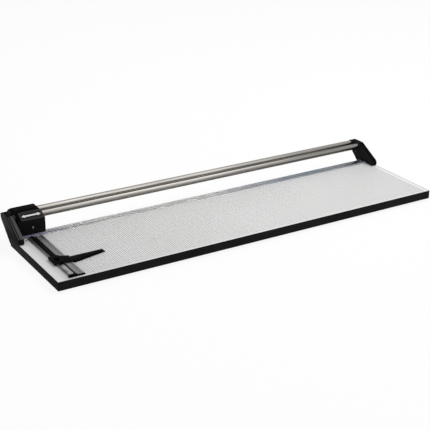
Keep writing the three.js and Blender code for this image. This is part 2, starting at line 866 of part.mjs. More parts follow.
function addBushes() {
  const rails = { front: frontRailY, rear: rearRailY };
  for (const [rail, y] of Object.entries(rails)) {
    const starts = { left: headLeft, right: headRight - bushLength };
    for (const [side, start] of Object.entries(starts)) {
      const end = start + bushLength;
      const axis = [y, railHeight];
      const sleeve = roundBar('x', bushOuterRadius, start, end, axis, boreSides);
      const bore = roundBar('x', railBoreRadius, start - cutOverrun, end + cutOverrun, axis, boreSides);
      add(`${rail}_rail_bush_${side}`, sleeve.subtract(bore), 'nylon');
    }
  }
}

function addPressureShoe() {
  const bottom = stripTop + runningGap;
  const lead = shoeHeight / 2;
  add('pressure_shoe', alongY([
    [headMiddle - shoeLength / 2, bottom + lead],
    [headMiddle - shoeLength / 2 + lead, bottom],
    [headMiddle + shoeLength / 2 - lead, bottom],
    [headMiddle + shoeLength / 2, bottom + lead],
    [headMiddle + shoeLength / 2, bottom + shoeHeight],
    [headMiddle - shoeLength / 2, bottom + shoeHeight],
  ], headFront + shoeSetback, headFront + shoeSetback + shoeDepth), 'nylon');
}

function addWheel() {
  const bevelStart = wheelRadius - wheelBevel;
  const axis = [wheelX, wheelZ];
  add('cutting_wheel', turnedAlongY([
    [wheelBore, wheelFront],
    [wheelRadius, wheelFront],
    [wheelRadius, wheelFront + wheelEdge],
    [bevelStart, wheelRear],
    [hubRadius, wheelRear],
    [hubRadius, hubRear],
    [wheelBore, hubRear],
    [wheelBore, wheelFront],
  ], axis), 'bladeSteel');
  add('wheel_bush', turnedAlongY([
    [wheelBushInner, wheelFront],
    [wheelBushOuter, wheelFront],
    [wheelBushOuter, hubRear],
    [wheelBushInner, hubRear],
    [wheelBushInner, wheelFront],
  ], axis, screwSides), 'bronze');
}

// The wheel's spindle runs through the head's front wall and its rear lug, and a nut holds it.
function addSpindle() {
  const axis = [wheelX, wheelZ];
  const nutFront = lugRear + runningGap;
  const spindleRear = nutFront + nutHeight;
  const spindle = roundBar('y', spindleRadius, headFront - spindleProud, spindleRear, axis);
  add('wheel_spindle', spindle, 'steel');
  const nut = roundBar('y', nutRadius, nutFront, spindleRear, axis, hexSides);
  const boreRadius = spindleRadius + runningGap;
  const bore = roundBar('y', boreRadius, nutFront - cutOverrun, spindleRear + cutOverrun, axis);
  add('spindle_nut', nut.subtract(bore), 'darkSteel');
}

// The compression spring is one unbroken round wire, wound about the spindle.
function addSpring() {
  const coilRadius = spindleRadius + runningGap + springWireRadius * 2;
  const start = hubRear + runningGap + springWireRadius;
  const end = lugFront - runningGap - springWireRadius;
  const steps = springTurns * springStepsPerTurn;
  const positions = [];
  const faces = [];
  for (let step = 0; step <= steps; step += 1) {
    const share = step / steps;
    const turn = share * springTurns * 2 * Math.PI;
    for (let side = 0; side < springSides; side += 1) {
      const angle = (side / springSides) * 2 * Math.PI;
      const radius = coilRadius + springWireRadius * Math.cos(angle);
      const along = start + (end - start) * share + springWireRadius * Math.sin(angle);
      positions.push(wheelX + radius * Math.cos(turn), along, wheelZ + radius * Math.sin(turn));
    }
  }
  const corner = (step, side) => step * springSides + (side % springSides);
  for (let step = 0; step < steps; step += 1) {
    for (let side = 0; side < springSides; side += 1) {
      faces.push(corner(step, side), corner(step, side + 1), corner(step + 1, side));
      faces.push(corner(step + 1, side), corner(step, side + 1), corner(step + 1, side + 1));
    }
  }
  for (let side = 1; side < springSides - 1; side += 1) {
    faces.push(corner(0, 0), corner(0, side + 1), corner(0, side));
    faces.push(corner(steps, 0), corner(steps, side), corner(steps, side + 1));
  }
  const geometry = new THREE.BufferGeometry();
  geometry.setAttribute('position', new THREE.Float32BufferAttribute(positions, 3));
  geometry.setIndex(faces);
  add('wheel_spring', solidOf(geometry), 'steel');
}

// The guide's section, left to right: a low flange, a wall, the channel, a slot and the scale land.
function guideBar() {
  return alongY([
    [guideLeft, 0],
    [guideLeft, guideFlangeHeight],
    [guideWallLeft, guideFlangeHeight],
    [guideWallLeft, guideWallHeight],
    [channelLeft, guideWallHeight],
    [channelLeft, guideFloor],
    [slotLeft, guideFloor],
    [slotLeft, slotFloor],
    [landLeft, slotFloor],
    [landLeft, landHeight],
    [landGroove, landHeight],
    [landGroove, landHeight - landGrooveDepth],
    [landGroove + landGrooveWidth, landHeight - landGrooveDepth],
    [landGroove + landGrooveWidth, landHeight],
    [guideRight, landHeight],
    [guideRight, 0],
  ], guideFront, guideRear);
}

function addSideGuide() {
  let guide = guideBar();
  for (const [name, place] of guideScrewPlaces) {
    guide = guide.subtract(countersink(place, guideFloor, guideScrewSize, guideWallHeight));
    add(`guide_screw_${name}`, countersunkScrew(place, guideFloor, guideScrewSize), 'darkSteel');
  }
  add('side_guide', guide, 'aluminium');
  add('scale_strip', block(
    landLeft + scaleMargin / 2, landGroove - scaleMargin / 2,
    guideFront + scaleMargin, guideRear - scaleMargin,
    landHeight, landHeight + scaleThickness,
  ), 'steel');
}

// The cap closes the guide's front end: a low plate at the land, and a hood over the channel.
function addGuideEndCap() {
  const capFront = guideFront - capPlate;
  const plate = block(guideLeft, guideRight, capFront, guideFront, 0, landHeight);
  const hood = block(guideLeft, landLeft, capFront, guideFront + capWrap, 0, capHeight);
  add('guide_end_cap', plate.add(hood).subtract(guideBar()), 'mouldedBlack');
}

function addSquaringScrew() {
  const [x, y] = squaringPlace;
  const top = squaringScrewHeight;
  const screw = turnedUpright([
    [0, top],
    [squaringScrewRadius * squaringScrewCrown, top],
    [squaringScrewRadius, top / 2],
    [squaringScrewRadius, 0],
    [squaringShankRadius, 0],
    [squaringShankRadius, -squaringScrewLength],
    [0, -squaringScrewLength],
  ], [x, y]);
  const socket = roundBar('z', squaringScrewRadius / 2, top / 2, top + cutOverrun, [x, y], hexSides);
  add('squaring_screw', screw.subtract(socket), 'steel');
}

function addSlideBar() {
  const front = stopBlockFront + runningGap;
  const bar = block(barLeft, barRight, front, barRear, barBottom, barTop);
  const studRoom = knobStudRadius + runningGap;
  const bore = roundBar('z', studRoom, barBottom - cutOverrun, barTop + cutOverrun, [knobX, knobY]);
  add('slide_bar', bar.subtract(bore), 'mouldedBlack');
}

function addStopBlock() {
  let stop = alongZ([
    [stopBlockLeft, stopBlockFront],
    [stopBlockRight, stopBlockFront],
    [stopBlockRight, stopBlockRear, stopBlockRounding],
    [stopBlockLeft, stopBlockRear],
  ], stopBlockBottom, stopBlockTop);
  const skirtRight = stopBlockLeft + skirtWidth;
  const skirtBottom = stopBlockTop - skirtDrop;
  const skirtFront = stopBlockFront - prongLength;
  stop = stop.add(block(stopBlockLeft, skirtRight, skirtFront, stopBlockRear, skirtBottom, stopBlockTop));
  const prongLeft = channelLeft + runningGap;
  const prongFront = stopBlockFront - innerProngLength;
  const prongBottom = guideFloor + innerProngLift;
  stop = stop.add(block(
    prongLeft, prongLeft + innerProngWidth,
    prongFront, stopBlockFront,
    prongBottom, stopBlockTop,
  ));
  const bore = roundBar('z', knobStudRadius + runningGap, 0, stopBlockTop + cutOverrun, [knobX, knobY]);
  add('stop_block', stop.subtract(bore), 'mouldedBlack');
}

// The arm lies across the scale land, drops to the board beyond it and tapers to its tip, where
// its end slopes down to a low edge.
function addStopArm() {
  const root = stopBlockRight + stopSeam;
  const shoulder = guideRight + armShoulder;
  const tipFront = armFaceY - armTipWidth;
  let arm = alongZ([
    [root, armRootFront],
    [shoulder, armRootFront, armShoulder / 2],
    [armReach, tipFront],
    [armReach, armFaceY],
    [armHeelX, armFaceY],
    [armHeelX, armHeelRear],
    [root, armRootRear],
  ], armLift, armTop);
  arm = arm.subtract(block(
    root - cutOverrun, guideRight + runningGap,
    armRootFront - cutOverrun, armRootRear + cutOverrun,
    0, landHeight + scaleThickness + runningGap,
  ));
  arm = arm.subtract(alongY([
    [armReach - armTipSlope, armTop],
    [armReach, armLift + armTipEdge],
    [armReach + cutOverrun, armLift + armTipEdge],
    [armReach + cutOverrun, armTop + cutOverrun],
    [armReach - armTipSlope, armTop + cutOverrun],
  ], tipFront - armTipWidth, armFaceY + cutOverrun));
  add('stop_arm', arm, 'mouldedBlack');
}

// The clamp knob's stud passes through the block and the bar, and presses on the channel floor.
function addStopKnob() {
  const bottom = stopBlockTop + runningGap;
  const knobTop = bottom + knobHeight;
  let knob = roundBar('z', knobRadius, bottom, knobTop, [knobX, knobY], boreSides);
  for (let flute = 0; flute < knobFlutes; flute += 1) {
    const angle = (flute / knobFlutes) * 2 * Math.PI;
    const place = [knobX + knobRadius * Math.cos(angle), knobY + knobRadius * Math.sin(angle)];
    const fluteFoot = bottom - cutOverrun;
    knob = knob.subtract(roundBar('z', knobFluteRadius, fluteFoot, knobTop + cutOverrun, place, hexSides));
  }
  const studBottom = guideFloor + runningGap;
  const stud = roundBar('z', knobStudRadius, studBottom, knobTop - knobHeight / 2, [knobX, knobY]);
  add('stop_knob', knob.add(stud), 'mouldedBlack');
}

addBoard();
addTrims();
addFeet();
addBladeAndBed();
addEnd('left');
addEnd('right');
addFrameBolts();
addRails();
addClampStrip();
addHeadBody();
addHeadCover();
addLabelPlate();
addBushes();
addPressureShoe();
addWheel();
addSpindle();
addSpring();
addSideGuide();
addGuideEndCap();
addSquaringScrew();
addSlideBar();
addStopBlock();
addStopArm();
addStopKnob();

trimmer.position.set(-boardLength / 2, -overallDepth / 2, boardThickness + footHeight);

export default trimmer;
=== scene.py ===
import math

import bmesh
import bpy
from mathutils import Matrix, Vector


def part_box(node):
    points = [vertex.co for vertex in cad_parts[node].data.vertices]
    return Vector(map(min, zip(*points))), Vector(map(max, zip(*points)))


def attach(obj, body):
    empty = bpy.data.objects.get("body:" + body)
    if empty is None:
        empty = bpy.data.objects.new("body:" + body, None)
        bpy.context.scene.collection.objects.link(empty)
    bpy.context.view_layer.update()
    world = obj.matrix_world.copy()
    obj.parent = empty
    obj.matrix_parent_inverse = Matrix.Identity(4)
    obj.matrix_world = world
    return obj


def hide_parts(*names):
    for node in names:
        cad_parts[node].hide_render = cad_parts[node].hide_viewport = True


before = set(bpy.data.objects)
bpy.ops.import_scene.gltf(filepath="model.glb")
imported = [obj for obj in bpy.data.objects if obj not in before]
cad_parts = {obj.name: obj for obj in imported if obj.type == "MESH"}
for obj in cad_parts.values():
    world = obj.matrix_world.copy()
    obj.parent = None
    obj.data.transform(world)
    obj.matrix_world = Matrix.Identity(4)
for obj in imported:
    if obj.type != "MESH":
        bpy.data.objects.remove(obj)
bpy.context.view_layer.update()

# All sizes are in metres. Places on the trimmer are given in millimetres from the board's front
# left corner at its top face, and this puts them into the shared frame.
MM = 0.001
BOARD_TOP = 0.031
BOARD_LEFT = -0.625
BOARD_FRONT = -0.1955

# Fineness of the modelled pieces
RAIL_SIDES = 96
WHEEL_SIDES = 160
KNOB_SIDES = 96
ROUND_SIDES = 64
SCREW_SIDES = 48
FLUTE_SIDES = 20
WIRE_SIDES = 14
HEX_SIDES = 6
COIL_STEPS = 40
CORNER_STEPS = 6
SMOOTH_ANGLE = math.radians(32)
SHARP_ANGLE = math.radians(30)
RAIL_END_ANGLE = math.radians(60)
FLAT_ANGLE = math.radians(0.6)
WELD = 0.005 * MM
# Two directions whose dot product is above this count as the same
ALIGNED = 0.9


def at(x, y, z):
    return Vector((BOARD_LEFT + x * MM, BOARD_FRONT + y * MM, BOARD_TOP + z * MM))


# Selecting and shaping

def select_only(piece):
    bpy.ops.object.select_all(action="DESELECT")
    piece.select_set(True)
    bpy.context.view_layer.objects.active = piece


def start_shaping(piece):
    select_only(piece)
    bpy.ops.object.mode_set(mode="EDIT")


def stop_shaping():
    bpy.ops.object.mode_set(mode="OBJECT")


def pick_faces(piece, test):
    """In edit mode, selects the faces whose centre and normal pass the test, and no others."""
    bpy.ops.mesh.select_mode(type="FACE")
    bpy.ops.mesh.select_all(action="DESELECT")
    mesh = bmesh.from_edit_mesh(piece.data)
    for face in mesh.faces:
        face.select_set(test(face.calc_center_median(), face.normal))
    bmesh.update_edit_mesh(piece.data)


def pick_edges(piece, test):
    """In edit mode, selects the edges whose two ends pass the test, and no others."""
    bpy.ops.mesh.select_mode(type="EDGE")
    bpy.ops.mesh.select_all(action="DESELECT")
    mesh = bmesh.from_edit_mesh(piece.data)
    for edge in mesh.edges:
        edge.select_set(test(edge.verts[0].co, edge.verts[1].co))
    bmesh.update_edit_mesh(piece.data)


def push(shift):
    """Extrudes what is selected by a shift."""
    bpy.ops.mesh.extrude_region_move(TRANSFORM_OT_translate={"value": shift})


def settle(piece):
    """Puts the piece's place into its mesh, so that the object sits at the origin."""
    select_only(piece)
    bpy.ops.object.transform_apply(location=True, rotation=True, scale=True)


def round_edges(piece, width, steps=2, angle=SHARP_ANGLE):
    """Breaks the sharp edges with a small round, and smooths what meets at a low angle."""
    select_only(piece)
    rounding = piece.modifiers.new("edge_round", "BEVEL")
    rounding.width = width
    rounding.segments = steps
    rounding.limit_method = "ANGLE"
    rounding.angle_limit = angle
    rounding.use_clamp_overlap = True
    bpy.ops.object.modifier_apply(modifier=rounding.name)
    bpy.ops.object.shade_smooth_by_angle(angle=SMOOTH_ANGLE)


def cut_by(piece, cutter):
    """Takes the cutter's shape out of the piece, and removes the cutter."""
    select_only(piece)
    cut = piece.modifiers.new("cut", "BOOLEAN")
    cut.operation = "DIFFERENCE"
    cut.solver = "EXACT"
    cut.object = cutter
    bpy.ops.object.modifier_apply(modifier=cut.name)
    bpy.data.objects.remove(cutter)


def joined(pieces):
    bpy.ops.object.select_all(action="DESELECT")
    for piece in pieces:
        piece.select_set(True)
    bpy.context.view_layer.objects.active = pieces[0]
    bpy.ops.object.join()
    return pieces[0]


def copy_moved(piece, shift):
    """A copy with its own mesh, moved by a shift."""
    twin = bpy.data.objects.new(piece.name + "_copy", piece.data.copy())
    bpy.context.collection.objects.link(twin)
    twin.location = shift
    settle(twin)
    return twin


AXES = {
    "X": (Vector((1, 0, 0)), (0, math.pi / 2, 0)),
    "Y": (Vector((0, 1, 0)), (math.pi / 2, 0, 0)),
    "Z": (Vector((0, 0, 1)), (0, 0, 0)),
}


def bar(axis, radius, start, end, sides=ROUND_SIDES):
    """A round bar between two places on a line along X, Y or Z."""
    bpy.ops.object.select_all(action="DESELECT")
    bpy.ops.mesh.primitive_cylinder_add(
        vertices=sides, radius=radius, depth=(end - start).length,
        location=(start + end) / 2, rotation=AXES[axis][1],
    )
    piece = bpy.context.active_object
    settle(piece)
    return piece


def turned(axis, center, profile, sides=ROUND_SIDES, ring=False):
    """
    A turned piece: a circle that is extruded and scaled through (radius, distance along the axis)
    pairs. A ring's profile ends where it starts and leaves a hole. Radii and distances are in mm.
    """
    direction, rotation = AXES[axis]
    radius, along = profile[0]
    bpy.ops.object.select_all(action="DESELECT")
    bpy.ops.mesh.primitive_circle_add(
        vertices=sides, radius=radius * MM, fill_type="NOTHING" if ring else "NGON",
        location=center + direction * along * MM, rotation=rotation,
    )
    piece = bpy.context.active_object
    settle(piece)
    start_shaping(piece)
    bpy.ops.mesh.select_mode(type="VERT")
    bpy.ops.mesh.select_all(action="SELECT")
    for next_radius, next_along in profile[1:]:
        push(direction * (next_along - along) * MM)
        share = next_radius / radius
        bpy.ops.transform.resize(
            value=(share, share, share),
            center_override=center + direction * next_along * MM,
        )
        radius, along = next_radius, next_along
    bpy.ops.mesh.select_all(action="SELECT")
    bpy.ops.mesh.remove_doubles(threshold=WELD)
    bpy.ops.mesh.normals_make_consistent(inside=False)
    stop_shaping()
    return piece


def merged_copy(node):
    """A CAD node's mesh as a new object, its loose triangles merged into whole flat faces."""
    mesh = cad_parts[node].data.copy()
    piece = bpy.data.objects.new(node + "_shape", mesh)
    bpy.context.collection.objects.link(piece)
    start_shaping(piece)
    bpy.ops.mesh.select_all(action="SELECT")
    bpy.ops.mesh.remove_doubles(threshold=WELD)
    bpy.ops.mesh.dissolve_limited(angle_limit=FLAT_ANGLE)
    stop_shaping()
    return piece


def finish_piece(piece, name, body, slot, material, *nodes):
    """Names the piece, gives it its finish, and puts it on its body in place of the CAD nodes."""
    piece.name = name
    piece.data.name = name
    piece.data.materials.clear()
    piece.data.materials.append(material)
    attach(piece, body)
    if nodes:
        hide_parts(*nodes)
    return piece


def dressed(node, name, body, slot, material, width):
    """A CAD node's shape with its edges rounded, as a piece that stands for the node."""
    piece = merged_copy(node)
    round_edges(piece, width * MM)
    return finish_piece(piece, name, body, slot, material, node)


# Material nodes

def new_finish(name):
    material = bpy.data.materials.new(name)
    material.use_nodes = True
    tree = material.node_tree
    return material, tree, tree.nodes["Principled BSDF"]


def add_node(tree, kind, inputs=None, **settings):
    """Adds a node, sets its options, and fills its inputs with values or with other outputs."""
    made = tree.nodes.new(kind)
    for key, value in settings.items():
        setattr(made, key, value)
    for key, value in (inputs or {}).items():
        if isinstance(value, bpy.types.NodeSocket):
            tree.links.new(value, made.inputs[key])
        else:
            made.inputs[key].default_value = value
    return made


def calculate(tree, operation, *values):
    inputs = dict(enumerate(values))
    return add_node(tree, "ShaderNodeMath", inputs, operation=operation).outputs[0]


def object_place(tree, stretch=(1, 1, 1)):
    """The place on the piece, stretched for the grain of a pattern."""
    coordinates = add_node(tree, "ShaderNodeTexCoord").outputs["Object"]
    mapping = add_node(tree, "ShaderNodeMapping", {"Vector": coordinates, "Scale": stretch})
    return mapping.outputs["Vector"]


def split_place(tree):
    split = add_node(tree, "ShaderNodeSeparateXYZ", {"Vector": object_place(tree)})
    return split.outputs["X"], split.outputs["Y"], split.outputs["Z"]


def noise(tree, place, scale, detail=3.0, roughness=0.5):
    return add_node(tree, "ShaderNodeTexNoise", {
        "Vector": place,
        "Scale": scale,
        "Detail": detail,
        "Roughness": roughness,
    }).outputs["Fac"]


def ramp(tree, factor, *stops):
    """A colour ramp through (position, grey or colour) stops."""
    made = add_node(tree, "ShaderNodeValToRGB", {"Fac": factor})
    elements = made.color_ramp.elements
    while len(elements) < len(stops):
        elements.new(0.5)
    for element, (position, value) in zip(elements, stops):
        color = value if isinstance(value, tuple) else (value, value, value)
        element.position = position
        element.color = (*color, 1)
    return made.outputs["Color"]


def spread(tree, value, low, high, *stops):
    """A colour ramp whose stops lie between two values of what feeds it."""
    share = add_node(tree, "ShaderNodeMapRange", {"Value": value, 1: low, 2: high}).outputs[0]
    return ramp(tree, share, *stops)


def mix(tree, factor, first, second, blend="MIX"):
    made = add_node(tree, "ShaderNodeMix", data_type="RGBA", blend_type=blend)
    for index, value in {0: factor, 6: first, 7: second}.items():
        if isinstance(value, bpy.types.NodeSocket):
            tree.links.new(value, made.inputs[index])
        else:
            made.inputs[index].default_value = value if index == 0 else (*value, 1)
    return made.outputs[2]


def bump(tree, shader, height, strength, distance):
    made = add_node(tree, "ShaderNodeBump", {
        "Height": height,
        "Strength": strength,
        "Distance": distance * MM,
    })
    tree.links.new(made.outputs["Normal"], shader.inputs["Normal"])


def feed(tree, shader, **inputs):
    """Links outputs or sets values on the shader, with _ for the spaces in an input's name."""
    for key, value in inputs.items():
        socket = shader.inputs[key.replace("_", " ")]
        if isinstance(value, bpy.types.NodeSocket):
            tree.links.new(value, socket)
        else:
            socket.default_value = value


# Finishes

MOULDED_GRAIN = 900.0


def plastic(name, dark, light, roughness, gloss):
    """Moulded plastic or paint: a fine grain, slow tone changes and uneven gloss."""
    material, tree, shader = new_finish(name)
    place = object_place(tree)
    slow = noise(tree, place, 16.0, 5.0, 0.6)
    uneven = noise(tree, place, 60.0)
    feed(
        tree, shader,
        Base_Color=ramp(tree, slow, (0.3, dark), (0.72, light)),
        Roughness=ramp(tree, uneven, (0.3, roughness - 0.06), (0.75, roughness + 0.1)),
        Specular_IOR_Level=gloss,
    )
    bump(tree, shader, noise(tree, place, MOULDED_GRAIN, 2.0), 0.35, 0.06)
    return material


def metal(
    name, dark, light, roughness,
    stretch=(1, 1, 1), scale=800.0, metallic=1.0, tint=(1, 1, 1),
):
    """Metal with ground or drawn streaks: the stretch is small along the streaks."""
    material, tree, shader = new_finish(name)
    streaks = noise(tree, object_place(tree, stretch), scale, 5.0, 0.6)
    handling = noise(tree, object_place(tree), 24.0, 4.0, 0.6)
    tone = ramp(tree, streaks, (0.32, dark), (0.68, light))
    worn_and_dim = mix(tree, ramp(tree, handling, (0.35, 0.0), (0.8, 0.35)), tone, (dark, dark, dark))
    feed(
        tree, shader,
        Base_Color=mix(tree, 1.0, worn_and_dim, tint, "MULTIPLY"),
        Roughness=ramp(tree, streaks, (0.3, roughness + 0.1), (0.7, roughness - 0.05)),
        Metallic=metallic,
    )
    bump(tree, shader, streaks, 0.3, 0.02)
    return material


def line_mask(tree, along, origin, pitch, width):
    """1 on thin lines that repeat along a coordinate from an origin, and 0 between them."""
    cell = calculate(tree, "MULTIPLY_ADD", along, 1 / pitch, 0.5 - origin / pitch)
    from_middle = calculate(tree, "SUBTRACT", calculate(tree, "FRACT", cell), 0.5)
    away = calculate(tree, "ABSOLUTE", from_middle)
    return calculate(tree, "LESS_THAN", away, width / pitch / 2)


def within(tree, value, low, high):
    above = calculate(tree, "GREATER_THAN", value, low)
    return calculate(tree, "MULTIPLY", above, calculate(tree, "LESS_THAN", value, high))


INCH = 25.4 * MM
BOARD_SPAN = (at(0, 0, 0).x, at(1250, 0, 0).x)
# Pitch, line width and strength of the printed grid's three kinds of line
GRID_RULES = ((INCH / 4, 1.1 * MM, 0.8), (INCH / 2, 1.1 * MM, 0.9), (INCH, 1.15 * MM, 1.0))
GRID_LOW = at(83, 7, 0)
GRID_HIGH = at(1237, 292, 0)
MARK_PLACES = ((237.2, 220.2), (340.9, 118.0), (443.6, 39.5), (622.8, 269.3))
MARK_RADIUS = 1.7 * MM
INK = (0.07, 0.07, 0.075)
INK_COVER = 0.85


def laminate_finish():
    """Light laminate with a printed grid in quarters of an inch and a few position marks, with
    painted light and shade across the board.
    """
    material, tree, shader = new_finish("grid_laminate_print")
    place = object_place(tree)
    x, y, _ = split_place(tree)
    ink = 0.0
    for pitch, width, strength in GRID_RULES:
        for along, origin in ((x, GRID_LOW.x), (y, GRID_LOW.y)):
            lines = line_mask(tree, along, origin, pitch, width)
            ink = calculate(tree, "MAXIMUM", ink, calculate(tree, "MULTIPLY", lines, strength))
    field = calculate(
        tree, "MULTIPLY",
        within(tree, x, GRID_LOW.x, GRID_HIGH.x), within(tree, y, GRID_LOW.y, GRID_HIGH.y),
    )
    ink = calculate(tree, "MULTIPLY", ink, field)
    for mark_x, mark_y in MARK_PLACES:
        spot = at(mark_x, mark_y, 0)
        away = add_node(tree, "ShaderNodeVectorMath", {0: place, 1: spot}, operation="DISTANCE")
        dot = calculate(tree, "LESS_THAN", away.outputs["Value"], MARK_RADIUS)
        ink = calculate(tree, "MAXIMUM", ink, dot)
    slow = noise(tree, place, 5.0)
    sheet = ramp(tree, slow, (0.3, (0.86, 0.86, 0.853)), (0.7, (0.90, 0.90, 0.893)))
    # Painted light and shade: the sheet darkens towards the board's ends, most just left of the
    # guide, where the guide's shade falls.
    painted_falloff = spread(
        tree, x, *BOARD_SPAN,
        (0.0, (0.84, 0.84, 0.845)), (0.012, (0.82, 0.82, 0.83)), (0.026, (0.64, 0.645, 0.67)),
        (0.08, (0.88, 0.88, 0.88)), (0.2, (0.94, 0.94, 0.94)), (0.5, (1.0, 1.0, 1.0)),
        (0.85, (0.98, 0.98, 0.98)), (1.0, (0.92, 0.92, 0.92)),
    )
    sheet = mix(tree, 1.0, sheet, painted_falloff, "MULTIPLY")
    fine = noise(tree, place, 1500.0, 2.0)
    feed(
        tree, shader,
        Base_Color=mix(tree, calculate(tree, "MULTIPLY", ink, INK_COVER), sheet, INK),
        Roughness=ramp(tree, fine, (0.3, 0.42), (0.7, 0.52)),
        Specular_IOR_Level=0.2,
    )
    bump(tree, shader, fine, 0.2, 0.02)
    return material


RAIL_RADIUS = 9.5 * MM
# The rails' axes: their height, the front one's place, and the distance between the two
RAIL_HEIGHT = at(0, 0, 46).z
RAIL_FRONT = at(0, 340.5, 0).y
RAIL_GAP = 35 * MM
# The direction, in y and z, in which a rail's bands of painted reflection lie one after the other
RAIL_BAND = (0.45, 0.89)
# The rails darken towards the left end frame, from the second place to the first
RAIL_SHADE = (at(19, 0, 0).x, at(27, 0, 0).x)
RAIL_TINT = (1.0, 0.95, 0.88)
# The ground steel's tones across each rail, from low at its front to high at its rear, as painted
# reflections: on its brightly and on its dimly reflecting part
FRONT_RAIL_BRIGHT_REFLECTION = (
    (0.0, 0.05), (0.05, 0.17), (0.20, 0.26), (0.37, 0.28), (0.45, 0.41), (0.55, 0.62), (0.64, 0.74),
    (0.70, 1.0), (0.80, 1.0), (0.84, 0.07), (1.0, 0.02),
)
FRONT_RAIL_DIM_REFLECTION = (
    (0.0, 0.07), (0.05, 0.19), (0.20, 0.20), (0.37, 0.21), (0.45, 0.31), (0.55, 0.30), (0.66, 0.26),
    (0.75, 0.46), (0.81, 0.43), (0.86, 0.10), (1.0, 0.03),
)
REAR_RAIL_BRIGHT_REFLECTION = (
    (0.0, 0.07), (0.12, 0.18), (0.26, 0.33), (0.45, 0.46), (0.55, 0.66), (0.65, 1.0), (0.72, 0.92),
    (0.84, 0.44), (0.93, 0.28), (1.0, 0.10),
)
REAR_RAIL_DIM_REFLECTION = (
    (0.0, 0.06), (0.12, 0.19), (0.30, 0.24), (0.45, 0.26), (0.60, 0.23), (0.72, 0.40), (0.84, 0.32),
    (0.93, 0.20), (1.0, 0.08),
)


def rail_finish():
    """Ground bar: streaks along it, with painted reflections: light bands on its top, dark ones at
    both its edges, dimmer towards its ends.
    """
    material, tree, shader = new_finish("polished_rail_steel")
    x, y, z = split_place(tree)
    start = calculate(tree, "SUBTRACT", y, RAIL_FRONT - RAIL_GAP / 2)
    in_gap = calculate(tree, "FLOORED_MODULO", start, RAIL_GAP)
    across = calculate(tree, "SUBTRACT", in_gap, RAIL_GAP / 2)
    height = calculate(tree, "SUBTRACT", z, RAIL_HEIGHT)
    band = calculate(
        tree, "ADD",
        calculate(tree, "MULTIPLY", across, RAIL_BAND[0]),
        calculate(tree, "MULTIPLY", height, RAIL_BAND[1]),
    )
    rear = calculate(tree, "GREATER_THAN", start, RAIL_GAP)
    # Painted reflection: each rail's bands as its bright and as its dim reflection.
    bright_reflection, worn_and_dim = (
        mix(
            tree, rear,
            spread(tree, band, -RAIL_RADIUS, RAIL_RADIUS, *front_stops),
            spread(tree, band, -RAIL_RADIUS, RAIL_RADIUS, *rear_stops),
        )
        for front_stops, rear_stops in (
            (FRONT_RAIL_BRIGHT_REFLECTION, REAR_RAIL_BRIGHT_REFLECTION), (FRONT_RAIL_DIM_REFLECTION, REAR_RAIL_DIM_REFLECTION),
        )
    )
    # Painted reflection: the bands fade from the bright set to the dim one along the rail, most
    # towards its right end.
    reflection_falloff = spread(
        tree, x, *BOARD_SPAN,
        (0.0, 0.25), (0.16, 0.0), (0.52, 0.0), (0.58, 0.08), (0.68, 0.33), (0.80, 0.80),
        (0.90, 1.0),
    )
    streaks = noise(tree, object_place(tree, (0.01, 1, 1)), 330.0, 5.0, 0.7)
    scratches = ramp(tree, streaks, (0.36, 0.5), (0.6, 1.04))
    tone = mix(tree, 1.0, mix(tree, reflection_falloff, bright_reflection, worn_and_dim), scratches, "MULTIPLY")
    shade = spread(tree, x, *RAIL_SHADE, (0.0, 0.08), (1.0, 1.0))
    tone = mix(tree, 1.0, tone, shade, "MULTIPLY")
    feed(
        tree, shader,
        Base_Color=mix(tree, 1.0, tone, RAIL_TINT, "MULTIPLY"),
        Roughness=ramp(tree, streaks, (0.3, 0.36), (0.7, 0.26)),
        Metallic=1.0,
    )
    bump(tree, shader, streaks, 0.2, 0.02)
    return material


STRIP_SPAN = (at(40, 0, 0).x, at(1237, 0, 0).x)
# Where the strip's painted shade begins behind its front edge, and where it is at full strength
STRIP_REAR_SHADE = (at(0, 299, 0).y, at(0, 304, 0).y)


def strip_finish():
    """Clear plastic with faint scuffs, with painted reflections tinting it blue at its two ends,
    and painted shade darkening it towards the far one.
    """
    material, tree, shader = new_finish("clear_strip_plastic")
    x, y, _ = split_place(tree)
    scuffs = noise(tree, object_place(tree, (0.1, 1, 1)), 260.0, 4.0)
    # Painted reflection: a blue tint at the two ends, deepest at the left end.
    tint = spread(
        tree, x, *STRIP_SPAN,
        (0.0, (0.50, 0.50, 0.64)), (0.045, (0.56, 0.56, 0.66)), (0.075, (0.74, 0.74, 0.76)),
        (0.17, (0.88, 0.88, 0.875)), (0.25, (0.96, 0.96, 0.955)), (0.5, (0.97, 0.97, 0.96)),
        (0.62, (0.85, 0.85, 0.89)), (0.75, (0.80, 0.84, 0.88)), (1.0, (0.92, 0.93, 0.95)),
    )
    # Painted shade: the strip's rear part darkens towards the far end, almost black shortly before
    # it.
    far_end_shade = spread(
        tree, x, *STRIP_SPAN,
        (0.50, (1.0, 1.0, 1.0)), (0.62, (0.86, 0.86, 0.88)), (0.80, (0.38, 0.44, 0.49)),
        (0.89, (0.30, 0.34, 0.39)), (0.92, (0.20, 0.24, 0.28)), (0.94, (0.02, 0.035, 0.05)),
        (0.96, (0.02, 0.035, 0.05)), (0.98, (0.16, 0.19, 0.23)), (1.0, (0.80, 0.84, 0.92)),
    )
    behind = spread(tree, y, *STRIP_REAR_SHADE, (0.0, 0.0), (1.0, 1.0))
    tint = mix(tree, 1.0, tint, mix(tree, behind, (1.0, 1.0, 1.0), far_end_shade), "MULTIPLY")
    dulled = ramp(tree, scuffs, (0.35, 1.0), (0.75, 0.93))
    feed(
        tree, shader,
        Base_Color=mix(tree, 1.0, tint, dulled, "MULTIPLY"),
        Roughness=ramp(tree, scuffs, (0.35, 0.07), (0.75, 0.16)),
        Transmission_Weight=0.78,
        IOR=1.3,
    )
    return material


